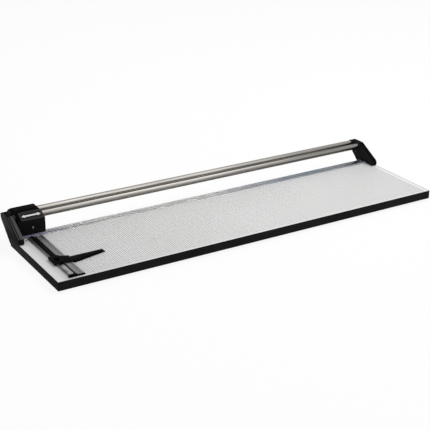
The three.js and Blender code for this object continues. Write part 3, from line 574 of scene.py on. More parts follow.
def rubber_finish():
    material, tree, shader = new_finish("foot_rubber")
    fine = noise(tree, object_place(tree), 700.0, 4.0)
    feed(
        tree, shader,
        Base_Color=ramp(tree, fine, (0.3, 0.010), (0.7, 0.024)),
        Roughness=ramp(tree, fine, (0.3, 0.75), (0.7, 0.92)),
        Specular_IOR_Level=0.15,
    )
    bump(tree, shader, fine, 0.4, 0.08)
    return material


def core_finish():
    """Fibreboard, which shows only from below and in the foot of the cut."""
    material, tree, shader = new_finish("board_core_fibre")
    fibres = noise(tree, object_place(tree), 320.0, 6.0, 0.7)
    feed(
        tree, shader,
        Base_Color=ramp(tree, fibres, (0.3, (0.20, 0.13, 0.08)), (0.7, (0.30, 0.21, 0.13))),
        Roughness=ramp(tree, fibres, (0.3, 0.8), (0.7, 0.92)),
        Specular_IOR_Level=0.2,
    )
    bump(tree, shader, fibres, 0.5, 0.2)
    return material


# Tones across the guide, by millimetres from the board's left edge: the flange, its wall, the
# channel, the slot, the land and its groove, with painted shade in the slot, the groove and the
# corners
GUIDE_LEFT = 36.5
GUIDE_RIGHT = 82.1
GUIDE_BANDS = (
    (36.5, 0.46), (37.1, 0.46), (37.2, 0.22), (37.6, 0.22), (37.7, 0.42), (38.8, 0.40),
    (38.9, 0.22), (39.4, 0.22), (39.6, 0.19), (42.3, 0.17), (42.5, 0.28), (44.5, 0.37),
    (56.2, 0.42), (56.6, 0.05), (57.6, 0.02), (60.4, 0.015), (60.6, 0.28), (63.0, 0.37),
    (74.6, 0.33), (74.9, 0.05), (76.3, 0.05), (76.5, 0.32), (79.5, 0.36), (79.8, 0.18),
    (80.2, 0.44), (82.1, 0.40),
)
# A dark spot beside the front screw: its middle, and the radii between which it fades
GUIDE_DARK_SPOT = at(44.2, 48.2, 0)
GUIDE_DARK_SPOT_FADE = (3.2 * MM, 4.6 * MM)


def guide_finish():
    """Drawn aluminium: fine lines along it, with painted shade in its dark corners and a lighter
    outer edge.
    """
    material, tree, shader = new_finish("guide_aluminium")
    x, y, _ = split_place(tree)
    # Painted light and shade: the bands are dark where shade falls in the slot, groove and corners.
    bands = spread(tree, x, at(GUIDE_LEFT, 0, 0).x, at(GUIDE_RIGHT, 0, 0).x, *(
        ((place - GUIDE_LEFT) / (GUIDE_RIGHT - GUIDE_LEFT), tone) for place, tone in GUIDE_BANDS
    ))
    aside = calculate(tree, "POWER", calculate(tree, "SUBTRACT", x, GUIDE_DARK_SPOT.x), 2.0)
    along = calculate(tree, "POWER", calculate(tree, "SUBTRACT", y, GUIDE_DARK_SPOT.y), 2.0)
    away = calculate(tree, "SQRT", calculate(tree, "ADD", aside, along))
    dark_spot = spread(tree, away, *GUIDE_DARK_SPOT_FADE, (0.0, 0.05), (1.0, 1.0))
    bands = mix(tree, 1.0, bands, dark_spot, "MULTIPLY")
    streaks = noise(tree, object_place(tree, (1, 0.03, 1)), 700.0, 5.0, 0.6)
    drawn = ramp(tree, streaks, (0.34, 0.66), (0.64, 1.0))
    feed(
        tree, shader,
        Base_Color=mix(tree, 1.0, bands, drawn, "MULTIPLY"),
        Roughness=ramp(tree, streaks, (0.3, 0.5), (0.7, 0.38)),
        Metallic=0.9,
    )
    bump(tree, shader, streaks, 0.3, 0.02)
    return material


# The sloping front of the end frames and covers: a place on it, and which way it faces
FRAME_SLOPE_FOOT = at(0, 258.5, 16)
FRAME_SLOPE_OUT = Vector((0, -41.8, 76.0)).normalized()
# Heights between which the ends' tones change: the outer side's foot, the slope's foot, the top
SIDE_FOOT = at(0, 0, -19).z
SLOPE_FOOT = at(0, 0, 16).z
FRAME_TOP = at(0, 0, 57.8).z
# The left end's ribs: how deep a place below the slope still is on a rib, and the ribs' span
RIB_DEPTH = 0.7 * MM
RIB_SPAN = (at(0, 0, 0).x, at(16, 0, 0).x)
# The left end's outer side, and the band of painted shade that follows the slope on it
OUTER_SIDE = at(0.3, 0, 0).x
SLOPE_BAND_SHADE_DEPTHS = (1.0 * MM, 9.0 * MM)
# The right end's side towards the board, and the rear limit of both ends' noses
INNER_SIDE = (at(1233.6, 0, 0).x, at(1234.2, 0, 0).x)
NOSE_REAR = at(0, 260, 0).y
WARM_GREY = (1.0, 0.95, 0.88)


def end_finish(name):
    """
    Painted or moulded black of the two ends, with painted light: the left end's sloping ribs and
    its outer side are coloured lighter, except in a band of painted shade along the corner between
    them.
    """
    material, tree, shader = new_finish(name)
    place = object_place(tree)
    x, y, z = split_place(tree)
    slow = noise(tree, place, 22.0, 5.0, 0.6)
    fine = noise(tree, place, 600.0, 2.0)
    rise = add_node(
        tree, "ShaderNodeVectorMath", {0: place, 1: FRAME_SLOPE_OUT}, operation="DOT_PRODUCT",
    )
    level = FRAME_SLOPE_FOOT.dot(FRAME_SLOPE_OUT)
    depth = calculate(tree, "SUBTRACT", level, rise.outputs["Value"])
    left_end = calculate(tree, "LESS_THAN", x, 0)
    on_rib = calculate(tree, "MULTIPLY", left_end, calculate(tree, "LESS_THAN", depth, RIB_DEPTH))
    # Painted light: the sloping ribs are coloured lighter than the rest, with a dark groove between
    # them.
    ribs = spread(
        tree, x, *RIB_SPAN,
        (0.0, 0.075), (0.24, 0.065), (0.26, 0.004), (0.39, 0.004), (0.42, 0.115), (1.0, 0.095),
    )
    # Painted light: the ribs darken towards the top.
    heel = spread(tree, z, SLOPE_FOOT, FRAME_TOP, (0.0, 1.0), (1.0, 0.66))
    ribs = mix(tree, 1.0, ribs, heel, "MULTIPLY")
    # Painted light: the outer side is coloured lighter towards the top.
    side = spread(
        tree, z, SIDE_FOOT, FRAME_TOP,
        (0.0, 0.016), (0.45, 0.020), (0.62, 0.040), (1.0, 0.052),
    )
    # Painted shade: a dark band on the outer side just below the slope.
    slope_band_shade = spread(
        tree, depth, *SLOPE_BAND_SHADE_DEPTHS,
        (0.0, 1.0), (0.15, 0.12), (0.75, 0.12), (1.0, 1.0),
    )
    side = mix(tree, 1.0, mix(tree, 1.0, side, slope_band_shade, "MULTIPLY"), WARM_GREY, "MULTIPLY")
    # Painted light: the noses are coloured lighter than the rest, and the right end's side towards
    # the board lighter still.
    nose = calculate(tree, "LESS_THAN", y, NOSE_REAR)
    tone = mix(tree, nose, (0.0042, 0.0042, 0.0042), (0.011, 0.011, 0.011))
    tone = mix(tree, within(tree, x, *INNER_SIDE), tone, (0.020, 0.020, 0.020))
    tone = mix(tree, on_rib, tone, ribs)
    tone = mix(tree, calculate(tree, "LESS_THAN", x, OUTER_SIDE), tone, side)
    handled = ramp(tree, slow, (0.25, 0.8), (0.75, 1.0))
    feed(
        tree, shader,
        Base_Color=mix(tree, 1.0, tone, handled, "MULTIPLY"),
        Roughness=ramp(tree, fine, (0.3, 0.5), (0.75, 0.62)),
        Specular_IOR_Level=0.01,
    )
    bump(tree, shader, fine, 0.35, 0.1)
    return material


HEAD_FRONT = at(0, 309, 0).y
HEAD_LIT_FRONT_DEPTH = 1.6 * MM


def head_finish():
    """Fine-grained black moulding, with painted light: its front is coloured lighter than the rest.
    """
    material, tree, shader = new_finish("head_moulding_black")
    place = object_place(tree)
    _, y, _ = split_place(tree)
    tone = ramp(tree, noise(tree, place, 16.0, 5.0, 0.6), (0.3, 0.0095), (0.72, 0.0130))
    # Painted light: the front face is coloured lighter, and the rest darker behind it.
    front = spread(tree, y, HEAD_FRONT, HEAD_FRONT + HEAD_LIT_FRONT_DEPTH, (0.0, 1.0), (1.0, 0.26))
    fine = noise(tree, place, MOULDED_GRAIN, 2.0)
    feed(
        tree, shader,
        Base_Color=mix(tree, 1.0, tone, front, "MULTIPLY"),
        Roughness=ramp(tree, fine, (0.3, 0.46), (0.75, 0.6)),
        Specular_IOR_Level=0.008,
    )
    bump(tree, shader, fine, 0.35, 0.06)
    return material


def turned_end_finish(name, axis, center, bright, ring):
    """Bright steel that shows on a turned end, with painted shade in its socket and round its rim.
    """
    material, tree, shader = new_finish(name)
    place = object_place(tree)
    flat = tuple(0.0 if part else 1.0 for part in AXES[axis][0])
    level = add_node(tree, "ShaderNodeVectorMath", {0: place, 1: flat}, operation="MULTIPLY")
    middle = tuple(a * b for a, b in zip(center, flat))
    away = add_node(
        tree, "ShaderNodeVectorMath", {0: level.outputs["Vector"], 1: middle}, operation="DISTANCE",
    )
    # Painted shade: the tones darken in the socket and round the rim.
    rings = spread(tree, away.outputs["Value"], 0.0, ring[-1][0] * MM, *(
        (radius / ring[-1][0], bright * share) for radius, share in ring
    ))
    streaks = noise(tree, place, 800.0, 5.0, 0.6)
    feed(
        tree, shader,
        Base_Color=mix(tree, 1.0, rings, ramp(tree, streaks, (0.32, 0.7), (0.68, 1.0)), "MULTIPLY"),
        Roughness=ramp(tree, streaks, (0.3, 0.38), (0.7, 0.26)),
        Metallic=1.0,
    )
    bump(tree, shader, streaks, 0.3, 0.02)
    return material


# Pitch, line width and reach of the scale's three kinds of tick
SCALE_TICKS = ((INCH / 16, 0.25 * MM, 0.35), (INCH / 4, 0.35 * MM, 0.6), (INCH, 0.5 * MM, 1.0))
SCALE_LEFT = at(61.5, 0, 0).x
SCALE_WIDTH = 12.4 * MM
SCALE_TICK_SHARE = 0.8


def scale_finish():
    """Satin strip with printed inch divisions: the longer the tick, the larger the step."""
    material, tree, shader = new_finish("scale_strip_print")
    x, y, _ = split_place(tree)
    ink = 0.0
    for pitch, width, reach in SCALE_TICKS:
        ticks = line_mask(tree, y, GRID_LOW.y, pitch, width)
        low = SCALE_LEFT + SCALE_WIDTH * (1 - reach * SCALE_TICK_SHARE)
        ticks = calculate(tree, "MULTIPLY", ticks, calculate(tree, "GREATER_THAN", x, low))
        ink = calculate(tree, "MAXIMUM", ink, ticks)
    streaks = noise(tree, object_place(tree, (1, 0.03, 1)), 700.0, 4.0)
    satin = ramp(tree, streaks, (0.35, 0.17), (0.65, 0.23))
    feed(
        tree, shader,
        Base_Color=mix(tree, ink, satin, (0.02, 0.02, 0.02)),
        Roughness=ramp(tree, streaks, (0.3, 0.5), (0.7, 0.4)),
        Metallic=0.6,
    )
    bump(tree, shader, streaks, 0.2, 0.02)
    return material


laminate = laminate_finish()
board_core = core_finish()
edge_plastic = plastic("edge_trim_plastic", 0.0105, 0.0155, 0.6, 0.02)
head_plastic = head_finish()
frame_paint = end_finish("end_frame_paint")
cover_plastic = end_finish("end_cover_black")
stop_plastic = plastic("stop_moulding_black", 0.0026, 0.0046, 0.5, 0.01)
label_film = plastic("label_plate_film", 0.019, 0.026, 0.5, 0.02)
label_border = plastic("label_border_film", 0.062, 0.080, 0.5, 0.03)
white_print = plastic("white_print_ink", 0.72, 0.82, 0.5, 0.2)
nylon = plastic("bush_nylon", (0.56, 0.54, 0.49), (0.64, 0.62, 0.57), 0.45, 0.35)
rubber = rubber_finish()
rail_steel = rail_finish()
clear_plastic = strip_finish()
scale_print = scale_finish()
blade_steel = metal("ground_blade_steel", 0.70, 0.90, 0.28, (1, 0.04, 1), 500.0)
wheel_steel = metal("wheel_steel", 0.42, 0.62, 0.22, (1, 1, 1), 300.0)
guide_metal = guide_finish()
bed_metal = metal("blade_bed_aluminium", 0.52, 0.64, 0.45, (0.03, 1, 1), 500.0)
screw_steel = metal("blackened_screw_steel", 0.018, 0.045, 0.38, (1, 1, 1), 900.0, 0.8)
screw_black = plastic("lacquered_screw_black", 0.0045, 0.0085, 0.5, 0.02)
bright_steel = metal("bright_screw_steel", 0.36, 0.56, 0.28)
bronze = metal("sintered_bronze", 0.30, 0.42, 0.45, tint=(1.0, 0.62, 0.26))


# Pieces

def keep_node(node, material):
    """A CAD node whose shape is right stays, with a finish of its own."""
    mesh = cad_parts[node].data
    mesh.materials.clear()
    mesh.materials.append(material)


def add_board():
    keep_node("baseboard", board_core)
    keep_node("grid_laminate", laminate)
    for side in ("front", "left", "right"):
        dressed(side + "_edge_trim", side + "_edge_moulding", "base", "trim", edge_plastic, 0.5)
    dressed("blade_bed", "blade_bed_rail", "base", "extrusion", bed_metal, 0.4)
    dressed("lower_blade", "lower_blade_bar", "base", "blade_steel", blade_steel, 0.2)


def node_axis(node, end="high"):
    """The place on a node's upright axis at its highest or lowest point."""
    low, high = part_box(node)
    return Vector(((low.x + high.x) / 2, (low.y + high.y) / 2, high.z if end == "high" else low.z))


# Profiles of turned pieces, as turned takes them: a radius and a place along the axis, in mm
FOOT_PROFILE = (
    (2.2, 3.0), (4.6, 3.0), (4.6, 0.6), (5.4, 0.0), (9.2, 0.0), (10.0, 0.8),
    (12.0, 5.4), (11.4, 6.0), (2.2, 6.0), (2.2, 3.0),
)


def add_feet():
    """Rubber feet with a washer recess below, modelled once."""
    first = node_axis("foot_front_left", "low")
    model = turned("Z", first, FOOT_PROFILE, ring=True)
    round_edges(model, 0.2 * MM)
    for place in ("front_right", "rear_left", "rear_right"):
        twin = copy_moved(model, node_axis("foot_" + place, "low") - first)
        finish_piece(twin, place + "_rubber_foot", "base", "rubber", rubber, "foot_" + place)
    finish_piece(model, "front_left_rubber_foot", "base", "rubber", rubber, "foot_front_left")


# A screw's hex socket, as shares of its head's radius and height
SOCKET_RADIUS = 0.52
SOCKET_DEPTH = 0.8


def countersunk_screw(node, head_radius, head_height, shank_radius):
    """A screw whose flat head tapers to its shank, with a hex socket in the head."""
    low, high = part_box(node)
    top = node_axis(node)
    length = (high.z - low.z) / MM
    piece = turned("Z", top, [
        (shank_radius - 0.3, -length), (shank_radius, 0.4 - length), (shank_radius, -head_height),
        (head_radius, -0.3), (head_radius - 0.1, 0.0),
    ], SCREW_SIDES)
    floor = top - Vector((0, 0, head_height * SOCKET_DEPTH * MM))
    above = top + Vector((0, 0, MM))
    cut_by(piece, bar("Z", head_radius * SOCKET_RADIUS * MM, floor, above, HEX_SIDES))
    round_edges(piece, 0.08 * MM, 1)
    return piece


def add_blade_screws():
    first = "lower_blade_screw_1"
    model = countersunk_screw(first, 4.0, 2.0, 2.0)
    for number in range(2, 7):
        node = f"lower_blade_screw_{number}"
        twin = copy_moved(model, node_axis(node) - node_axis(first))
        finish_piece(twin, f"blade_screw_{number}", "base", "fastener", screw_steel, node)
    finish_piece(model, "blade_screw_1", "base", "fastener", screw_steel, first)


BUFFER_RADIUS = 11.3
BUFFER_LENGTH = 4.2


def add_rail_buffer(side, end, inner, direction, across, height):
    """A rubber ring on the rail against the end frame, which the head meets at its run's end."""
    bore = RAIL_RADIUS / MM
    reach = direction * BUFFER_LENGTH
    ring = turned("X", Vector((inner, across, height)), [
        (bore, 0.0), (BUFFER_RADIUS, 0.0), (BUFFER_RADIUS, reach * 0.8),
        (BUFFER_RADIUS - 0.9, reach), (bore, reach), (bore, 0.0),
    ], ring=True)
    round_edges(ring, 0.2 * MM)
    finish_piece(ring, f"{side}_{end}_rail_buffer", "base", "rubber", rubber)


def add_frames_and_rails():
    for side in ("left", "right"):
        end_frame, end_cover = side + "_end_frame", side + "_end_cover"
        dressed(end_frame, side + "_frame_casting", "base", "cast_frame", frame_paint, 0.8)
        dressed(end_cover, side + "_cover_moulding", "base", "moulding", cover_plastic, 0.8)
        for end in ("front", "rear"):
            bolt = f"{side}_frame_bolt_{end}"
            dressed(bolt, bolt + "_from_below", "base", "fastener", screw_steel, 0.25)
            keep_node(f"{side}_{end}_rail_screw", screw_steel)
    left_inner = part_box("left_end_frame")[1].x
    right_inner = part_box("right_end_frame")[0].x
    for end in ("front", "rear"):
        low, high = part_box(end + "_rail")
        across, height = (low.y + high.y) / 2, (low.z + high.z) / 2
        start, stop = Vector((low.x, across, height)), Vector((high.x, across, height))
        rail = bar("X", RAIL_RADIUS, start, stop, RAIL_SIDES)
        round_edges(rail, 0.8 * MM, 2, RAIL_END_ANGLE)
        finish_piece(rail, end + "_guide_rail", "base", "rail_steel", rail_steel, end + "_rail")
        add_rail_buffer("left", end, left_inner, 1, across, height)
        add_rail_buffer("right", end, right_inner, -1, across, height)


def add_strip():
    dressed("clamp_strip", "clear_clamp_strip", "strip", "clear_strip", clear_plastic, 0.15)
    for side in ("left", "right"):
        keep_node(side + "_strip_pin", bright_steel)


# The label's slope on the head: its direction up the slope, and outwards from it
SLOPE_UP = (at(0, 348, 65.5) - at(0, 309, 46.5)).normalized()
SLOPE_OUT = Vector((1, 0, 0)).cross(SLOPE_UP)
SLOPE_TILT = math.atan2(SLOPE_UP.z, SLOPE_UP.y)
LABEL_CORNER = 2.6 * MM
LABEL_BORDER = 1.5 * MM
LABEL_RECESS = 0.3 * MM
LABEL_THICKNESS = 0.8 * MM
FILM_THICKNESS = 0.12 * MM


def slope_sheet(center, width, depth):
    """A thin sheet that lies on the label's slope."""
    bpy.ops.object.select_all(action="DESELECT")
    bpy.ops.mesh.primitive_cube_add(size=1, location=center, rotation=(SLOPE_TILT, 0, 0))
    sheet = bpy.context.active_object
    sheet.scale = (width, depth, FILM_THICKNESS)
    settle(sheet)
    return sheet


def round_slope_corners(piece, radius):
    pick_edges(piece, lambda a, b: abs((a - b).normalized().dot(SLOPE_OUT)) > ALIGNED)
    bpy.ops.mesh.bevel(offset=radius, segments=CORNER_STEPS)


def add_label():
    """A plate with round corners, a raised border, and a double arrow for the head's travel."""
    plate = merged_copy("label_plate")
    start_shaping(plate)
    round_slope_corners(plate, LABEL_CORNER)
    pick_faces(plate, lambda middle, normal: normal.dot(SLOPE_OUT) > ALIGNED)
    bpy.ops.mesh.inset(thickness=LABEL_BORDER)
    push(-SLOPE_OUT * LABEL_RECESS)
    stop_shaping()
    round_edges(plate, 0.12 * MM)
    finish_piece(plate, "label_plate_border", "head", "label", label_border, "label_plate")
    low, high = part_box("label_plate")
    middle = (low + high) / 2 + SLOPE_OUT * (LABEL_THICKNESS / 2 - LABEL_RECESS)
    width = high.x - low.x - LABEL_BORDER * 2
    depth = (high.y - low.y) / SLOPE_UP.y - LABEL_BORDER * 2.4
    film = slope_sheet(middle, width, depth)
    start_shaping(film)
    round_slope_corners(film, LABEL_CORNER * 0.6)
    stop_shaping()
    finish_piece(film, "label_plate_field", "head", "label", label_film)
    add_travel_arrow(middle + SLOPE_OUT * FILM_THICKNESS * 0.8)


ARROW_LENGTH = 57.0 * MM
ARROW_SHAFT = 5.2 * MM
ARROW_HEAD = 11.0 * MM
ARROW_HEAD_LENGTH = 9.5 * MM
ARROW_POINT = 0.02


def add_travel_arrow(center):
    """A white double arrow: a shaft whose two ends are extruded into points."""
    shaft_length = ARROW_LENGTH - 2 * ARROW_HEAD_LENGTH
    arrow = slope_sheet(center, shaft_length, ARROW_SHAFT)
    start_shaping(arrow)
    for direction in (-1, 1):
        root = center + Vector((direction * shaft_length / 2, 0, 0))
        point = root + Vector((direction * ARROW_HEAD_LENGTH, 0, 0))
        edge = shaft_length / 2 - WELD
        pick_faces(arrow, lambda middle, normal: (
            normal.x * direction > ALIGNED and (middle.x - center.x) * direction > edge
        ))
        push((0, 0, 0))
        widen = ARROW_HEAD / ARROW_SHAFT
        bpy.ops.transform.resize(value=(1, widen, widen), center_override=root)
        push(point - root)
        bpy.ops.transform.resize(value=(1, ARROW_POINT, ARROW_POINT), center_override=point)
    stop_shaping()
    finish_piece(arrow, "travel_arrow", "head", "label", white_print)


BUSH_WALL = 1.2


def add_head():
    dressed("head_body", "head_housing", "head", "moulding", head_plastic, 0.9)
    dressed("head_cover", "head_top_cover", "head", "moulding", head_plastic, 0.5)
    dressed("pressure_shoe", "strip_pressure_shoe", "head", "nylon", nylon, 0.4)
    add_label()
    for rail in ("front", "rear"):
        for side in ("left", "right"):
            bush = f"{rail}_rail_bush_{side}"
            low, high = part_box(bush)
            center = Vector((low.x, (low.y + high.y) / 2, (low.z + high.z) / 2))
            length = (high.x - low.x) / MM
            outer = (high.z - low.z) / 2 / MM
            inner = outer - BUSH_WALL
            sleeve = turned("X", center, [
                (inner + 0.4, 0.0), (outer, 0.0), (outer, length), (inner + 0.4, length),
                (inner, length - 0.4), (inner, 0.4), (inner + 0.4, 0.0),
            ], ring=True)
            round_edges(sleeve, 0.1 * MM, 1)
            finish_piece(sleeve, bush + "_sleeve", "head", "nylon", nylon, bush)
    left, right = "head_cover_screw_left", "head_cover_screw_right"
    model = countersunk_screw(left, 3.8, 1.6, 2.0)
    twin = copy_moved(model, node_axis(right) - node_axis(left))
    finish_piece(twin, "right_cover_screw", "head", "fastener", screw_black, right)
    finish_piece(model, "left_cover_screw", "head", "fastener", screw_black, left)


WHEEL_PROFILE = (
    (5.3, 0.0), (21.0, 0.0), (25.0, 0.0), (25.0, 0.25), (21.0, 2.0), (8.5, 2.0),
    (8.5, 6.1), (8.1, 6.5), (5.3, 6.5), (5.3, 0.0),
)
# The spindle's front end: bright round a socket and a rim that are darkened with painted shade
SPINDLE_TONES = ((0.0, 0.5), (1.4, 0.8), (1.6, 1.0), (2.9, 1.0), (3.2, 0.06))
GRUB_FACE = at(65.1, 308.75, 14.9)
GRUB_PROFILE = ((1.6, 0.0), (1.9, 0.25), (1.9, 2.0))
GRUB_SOCKET_RADIUS = 1.0 * MM
GRUB_SOCKET_DEPTH = 1.4 * MM


def add_wheel():
    """The cutting wheel, flat towards the blade and bevelled behind, on its spindle."""
    low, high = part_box("cutting_wheel")
    axis = Vector(((low.x + high.x) / 2, low.y, (low.z + high.z) / 2))
    wheel = turned("Y", axis, WHEEL_PROFILE, WHEEL_SIDES, ring=True)
    round_edges(wheel, 0.05 * MM, 1)
    finish_piece(wheel, "round_cutting_blade", "wheel", "blade_steel", wheel_steel, "cutting_wheel")
    keep_node("wheel_bush", bronze)
    low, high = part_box("wheel_spindle")
    length = (high.y - low.y) / MM
    spindle = turned("Y", Vector((axis.x, low.y, axis.z)), [
        (1.3, 1.6), (1.5, 0.25), (2.3, 0.0), (3.3, 0.15), (4.0, 0.9),
        (4.0, length - 0.6), (3.4, length),
    ])
    round_edges(spindle, 0.1 * MM, 1)
    spindle_steel = turned_end_finish("spindle_end_steel", "Y", axis, 0.42, SPINDLE_TONES)
    finish_piece(spindle, "wheel_spindle_pin", "head", "rail_steel", spindle_steel, "wheel_spindle")
    dressed("spindle_nut", "spindle_hex_nut", "head", "fastener", screw_steel, 0.4)
    grub = turned("Y", GRUB_FACE, GRUB_PROFILE, SCREW_SIDES)
    before = GRUB_FACE - Vector((0, MM, 0))
    floor = GRUB_FACE + Vector((0, GRUB_SOCKET_DEPTH, 0))
    cut_by(grub, bar("Y", GRUB_SOCKET_RADIUS, before, floor, HEX_SIDES))
    finish_piece(grub, "spindle_grub_screw", "head", "fastener", screw_steel)


SPRING_TURNS = 4
SPRING_WIRE = 0.7 * MM


def add_spring():
    """A wire circle that the screw modifier winds about the spindle."""
    low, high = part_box("wheel_spring")
    center = Vector(((low.x + high.x) / 2, low.y + SPRING_WIRE, (low.z + high.z) / 2))
    coil = (high.x - low.x) / 2 - SPRING_WIRE
    bpy.ops.object.select_all(action="DESELECT")
    bpy.ops.mesh.primitive_circle_add(vertices=WIRE_SIDES, radius=SPRING_WIRE, location=center)
    spring = bpy.context.active_object
    start_shaping(spring)
    bpy.ops.mesh.select_all(action="SELECT")
    bpy.ops.transform.translate(value=(coil, 0, 0))
    stop_shaping()
    winding = spring.modifiers.new("winding", "SCREW")
    winding.axis = "Y"
    winding.angle = math.tau
    winding.screw_offset = (high.y - low.y - 2 * SPRING_WIRE) / SPRING_TURNS
    winding.iterations = SPRING_TURNS
    winding.steps = COIL_STEPS
    winding.render_steps = COIL_STEPS
    select_only(spring)
    bpy.ops.object.modifier_apply(modifier=winding.name)
    start_shaping(spring)
    bpy.ops.mesh.select_all(action="SELECT")
    bpy.ops.mesh.fill_holes(sides=0)
    bpy.ops.mesh.select_all(action="SELECT")
    bpy.ops.mesh.normals_make_consistent(inside=False)
    stop_shaping()
    settle(spring)
    bpy.ops.object.shade_smooth_by_angle(angle=SMOOTH_ANGLE)
    finish_piece(
        spring, "wheel_pressure_spring", "head", "rail_steel", bright_steel, "wheel_spring",
    )


SQUARING_PROFILE = (
    (1.7, -10.0), (2.0, -9.6), (2.0, 0.0), (3.4, 0.0), (3.4, 1.1), (2.9, 2.1), (2.5, 2.4),
)
SQUARING_SOCKET_RADIUS = 1.9 * MM
SQUARING_SOCKET_FLOOR = 0.7 * MM
# The squaring screw's top: a bright ring between its socket and its rim, which are darkened with
# painted shade
SQUARING_TONES = ((0.0, 0.03), (1.7, 0.03), (1.9, 1.0), (2.9, 1.0), (3.1, 0.2), (3.4, 0.2))


def add_guide():
    dressed("side_guide", "side_guide_extrusion", "base", "extrusion", guide_metal, 0.2)
    dressed("guide_end_cap", "guide_cap_moulding", "base", "moulding", stop_plastic, 0.6)
    keep_node("scale_strip", scale_print)
    front, rear = "guide_screw_front", "guide_screw_rear"
    model = countersunk_screw(front, 3.2, 1.4, 1.5)
    twin = copy_moved(model, node_axis(rear) - node_axis(front))
    finish_piece(twin, "rear_guide_screw", "base", "fastener", bright_steel, rear)
    finish_piece(model, "front_guide_screw", "base", "fastener", screw_steel, front)
    foot = node_axis("squaring_screw")
    foot.z = BOARD_TOP
    screw = turned("Z", foot, SQUARING_PROFILE, SCREW_SIDES)
    floor, above = foot + Vector((0, 0, SQUARING_SOCKET_FLOOR)), foot + Vector((0, 0, 3 * MM))
    cut_by(screw, bar("Z", SQUARING_SOCKET_RADIUS, floor, above, HEX_SIDES))
    round_edges(screw, 0.1 * MM, 1)
    ring_steel = turned_end_finish("squaring_screw_steel", "Z", foot, 0.75, SQUARING_TONES)
    finish_piece(screw, "guide_squaring_screw", "base", "rail_steel", ring_steel, "squaring_screw")


KNOB_PROFILE = (
    (2.2, 2.3), (2.5, 2.6), (2.5, 9.2), (7.0, 9.2), (8.0, 10.0), (8.0, 14.2), (7.2, 15.0),
    (5.2, 15.2), (4.4, 14.6),
)
KNOB_FLUTES = 12
KNOB_FLUTE_RADIUS = 1.2 * MM
KNOB_FLUTE_CENTRE = 8.3 * MM
KNOB_FLUTE_FOOT = 8 * MM
KNOB_FLUTE_CROWN = 17 * MM


def add_stop():
    """The stop's bar, block and arm, and its clamp knob with round flutes in its rim."""
    dressed("slide_bar", "stop_slide_bar", "stop", "moulding", stop_plastic, 0.5)
    dressed("stop_block", "stop_block_moulding", "stop", "moulding", stop_plastic, 0.4)
    dressed("stop_arm", "stop_arm_moulding", "stop", "moulding", stop_plastic, 0.35)
    center = node_axis("stop_knob")
    center.z = BOARD_TOP
    knob = turned("Z", center, KNOB_PROFILE, KNOB_SIDES)
    flutes = []
    for number in range(KNOB_FLUTES):
        angle = math.tau * number / KNOB_FLUTES
        spot = center + Vector((math.cos(angle), math.sin(angle), 0)) * KNOB_FLUTE_CENTRE
        foot, crown = (spot + Vector((0, 0, rise)) for rise in (KNOB_FLUTE_FOOT, KNOB_FLUTE_CROWN))
        flutes.append(bar("Z", KNOB_FLUTE_RADIUS, foot, crown, FLUTE_SIDES))
    cut_by(knob, joined(flutes))
    round_edges(knob, 0.15 * MM, 1)
    finish_piece(knob, "stop_clamp_knob", "knob", "moulding", stop_plastic, "stop_knob")


add_board()
add_feet()
add_blade_screws()
add_frames_and_rails()
add_strip()
add_head()
add_wheel()
add_spring()
add_guide()
add_stop()


# Floor, light and camera

FLOOR_SIZE = 30
FLOOR_GREY = 0.97
FLOOR_GLOW = 0.9
WORLD_LEVEL = 0.55


def background_rays(tree):
    """1 for what the camera sees directly, in a gloss or through glass."""
    path = add_node(tree, "ShaderNodeLightPath")
    seen = calculate(tree, "MAXIMUM", path.outputs["Is Camera Ray"], path.outputs["Is Glossy Ray"])
    return calculate(tree, "MAXIMUM", seen, path.outputs["Is Transmission Ray"])


def add_floor():
    bpy.ops.object.select_all(action="DESELECT")
    bpy.ops.mesh.primitive_plane_add(size=FLOOR_SIZE, location=(0, 0, 0))
    floor = bpy.context.active_object
    floor.name = "studio_floor"
    material = bpy.data.materials.new("pale_floor")
    material.use_nodes = True
    tree = material.node_tree
    tree.nodes.clear()
    grey = (FLOOR_GREY, FLOOR_GREY, FLOOR_GREY, 1)
    matte = add_node(tree, "ShaderNodeBsdfDiffuse", {"Color": grey}).outputs[0]
    glow = add_node(tree, "ShaderNodeEmission", {"Color": (1, 1, 1, 1), "Strength": 1.0}).outputs[0]
    share = calculate(tree, "MULTIPLY", background_rays(tree), FLOOR_GLOW)
    blend = add_node(tree, "ShaderNodeMixShader", {0: share, 1: matte, 2: glow})
    output = add_node(tree, "ShaderNodeOutputMaterial")
    tree.links.new(blend.outputs[0], output.inputs["Surface"])
    floor.data.materials.append(material)


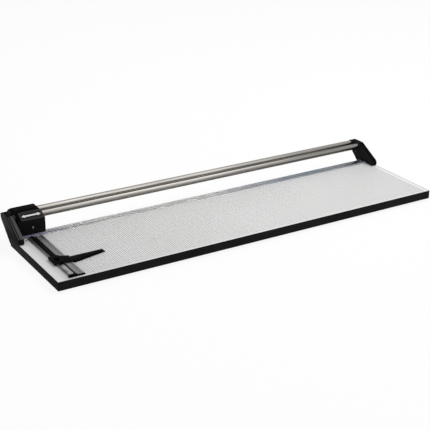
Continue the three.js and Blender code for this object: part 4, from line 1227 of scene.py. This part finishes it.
def add_world():
    world = bpy.data.worlds.new("studio_world")
    bpy.context.scene.world = world
    world.use_nodes = True
    tree = world.node_tree
    tree.nodes.clear()
    strength = calculate(tree, "MULTIPLY_ADD", background_rays(tree), 1 - WORLD_LEVEL, WORLD_LEVEL)
    sky = add_node(tree, "ShaderNodeBackground", {"Color": (1, 1, 1, 1), "Strength": strength})
    output = add_node(tree, "ShaderNodeOutputWorld")
    tree.links.new(sky.outputs[0], output.inputs["Surface"])


def add_lamp(name, place, target, size, power):
    lamp = bpy.data.lights.new(name, "AREA")
    lamp.shape = "DISK"
    lamp.size = size
    lamp.energy = power
    holder = bpy.data.objects.new(name, lamp)
    bpy.context.collection.objects.link(holder)
    holder.location = place
    holder.visible_glossy = False
    holder.rotation_euler = (Vector(target) - Vector(place)).to_track_quat("-Z", "Y").to_euler()


CAMERA_PLACE = (-1.589261, -2.523561, 1.285802)
CAMERA_YAW = 0.551877
CAMERA_PITCH = 0.403712
CAMERA_ROLL = 0.00829546
CAMERA_LENS = 91.316
CAMERA_SENSOR = 36
CAMERA_REACH = 50


def add_camera():
    camera_data = bpy.data.cameras.new("photo_camera")
    camera_data.lens = CAMERA_LENS
    camera_data.sensor_width = CAMERA_SENSOR
    camera_data.clip_end = CAMERA_REACH
    camera = bpy.data.objects.new("photo_camera", camera_data)
    bpy.context.collection.objects.link(camera)
    forward = Vector((
        math.sin(CAMERA_YAW) * math.cos(CAMERA_PITCH),
        math.cos(CAMERA_YAW) * math.cos(CAMERA_PITCH),
        -math.sin(CAMERA_PITCH),
    ))
    level = Vector((math.cos(CAMERA_YAW), -math.sin(CAMERA_YAW), 0))
    rise = level.cross(forward)
    turn = camera.matrix_world.to_3x3()
    turn.col[0] = level * math.cos(CAMERA_ROLL) + rise * math.sin(CAMERA_ROLL)
    turn.col[1] = rise * math.cos(CAMERA_ROLL) - level * math.sin(CAMERA_ROLL)
    turn.col[2] = -forward
    camera.rotation_euler = turn.to_euler()
    camera.location = CAMERA_PLACE
    bpy.context.scene.camera = camera


add_floor()
add_world()
add_lamp("key_softbox", place=(1.5, 0.0, 3.3), target=(0, 0, 0), size=2.0, power=64)
add_camera()
bpy.context.scene.view_settings.view_transform = "Standard"
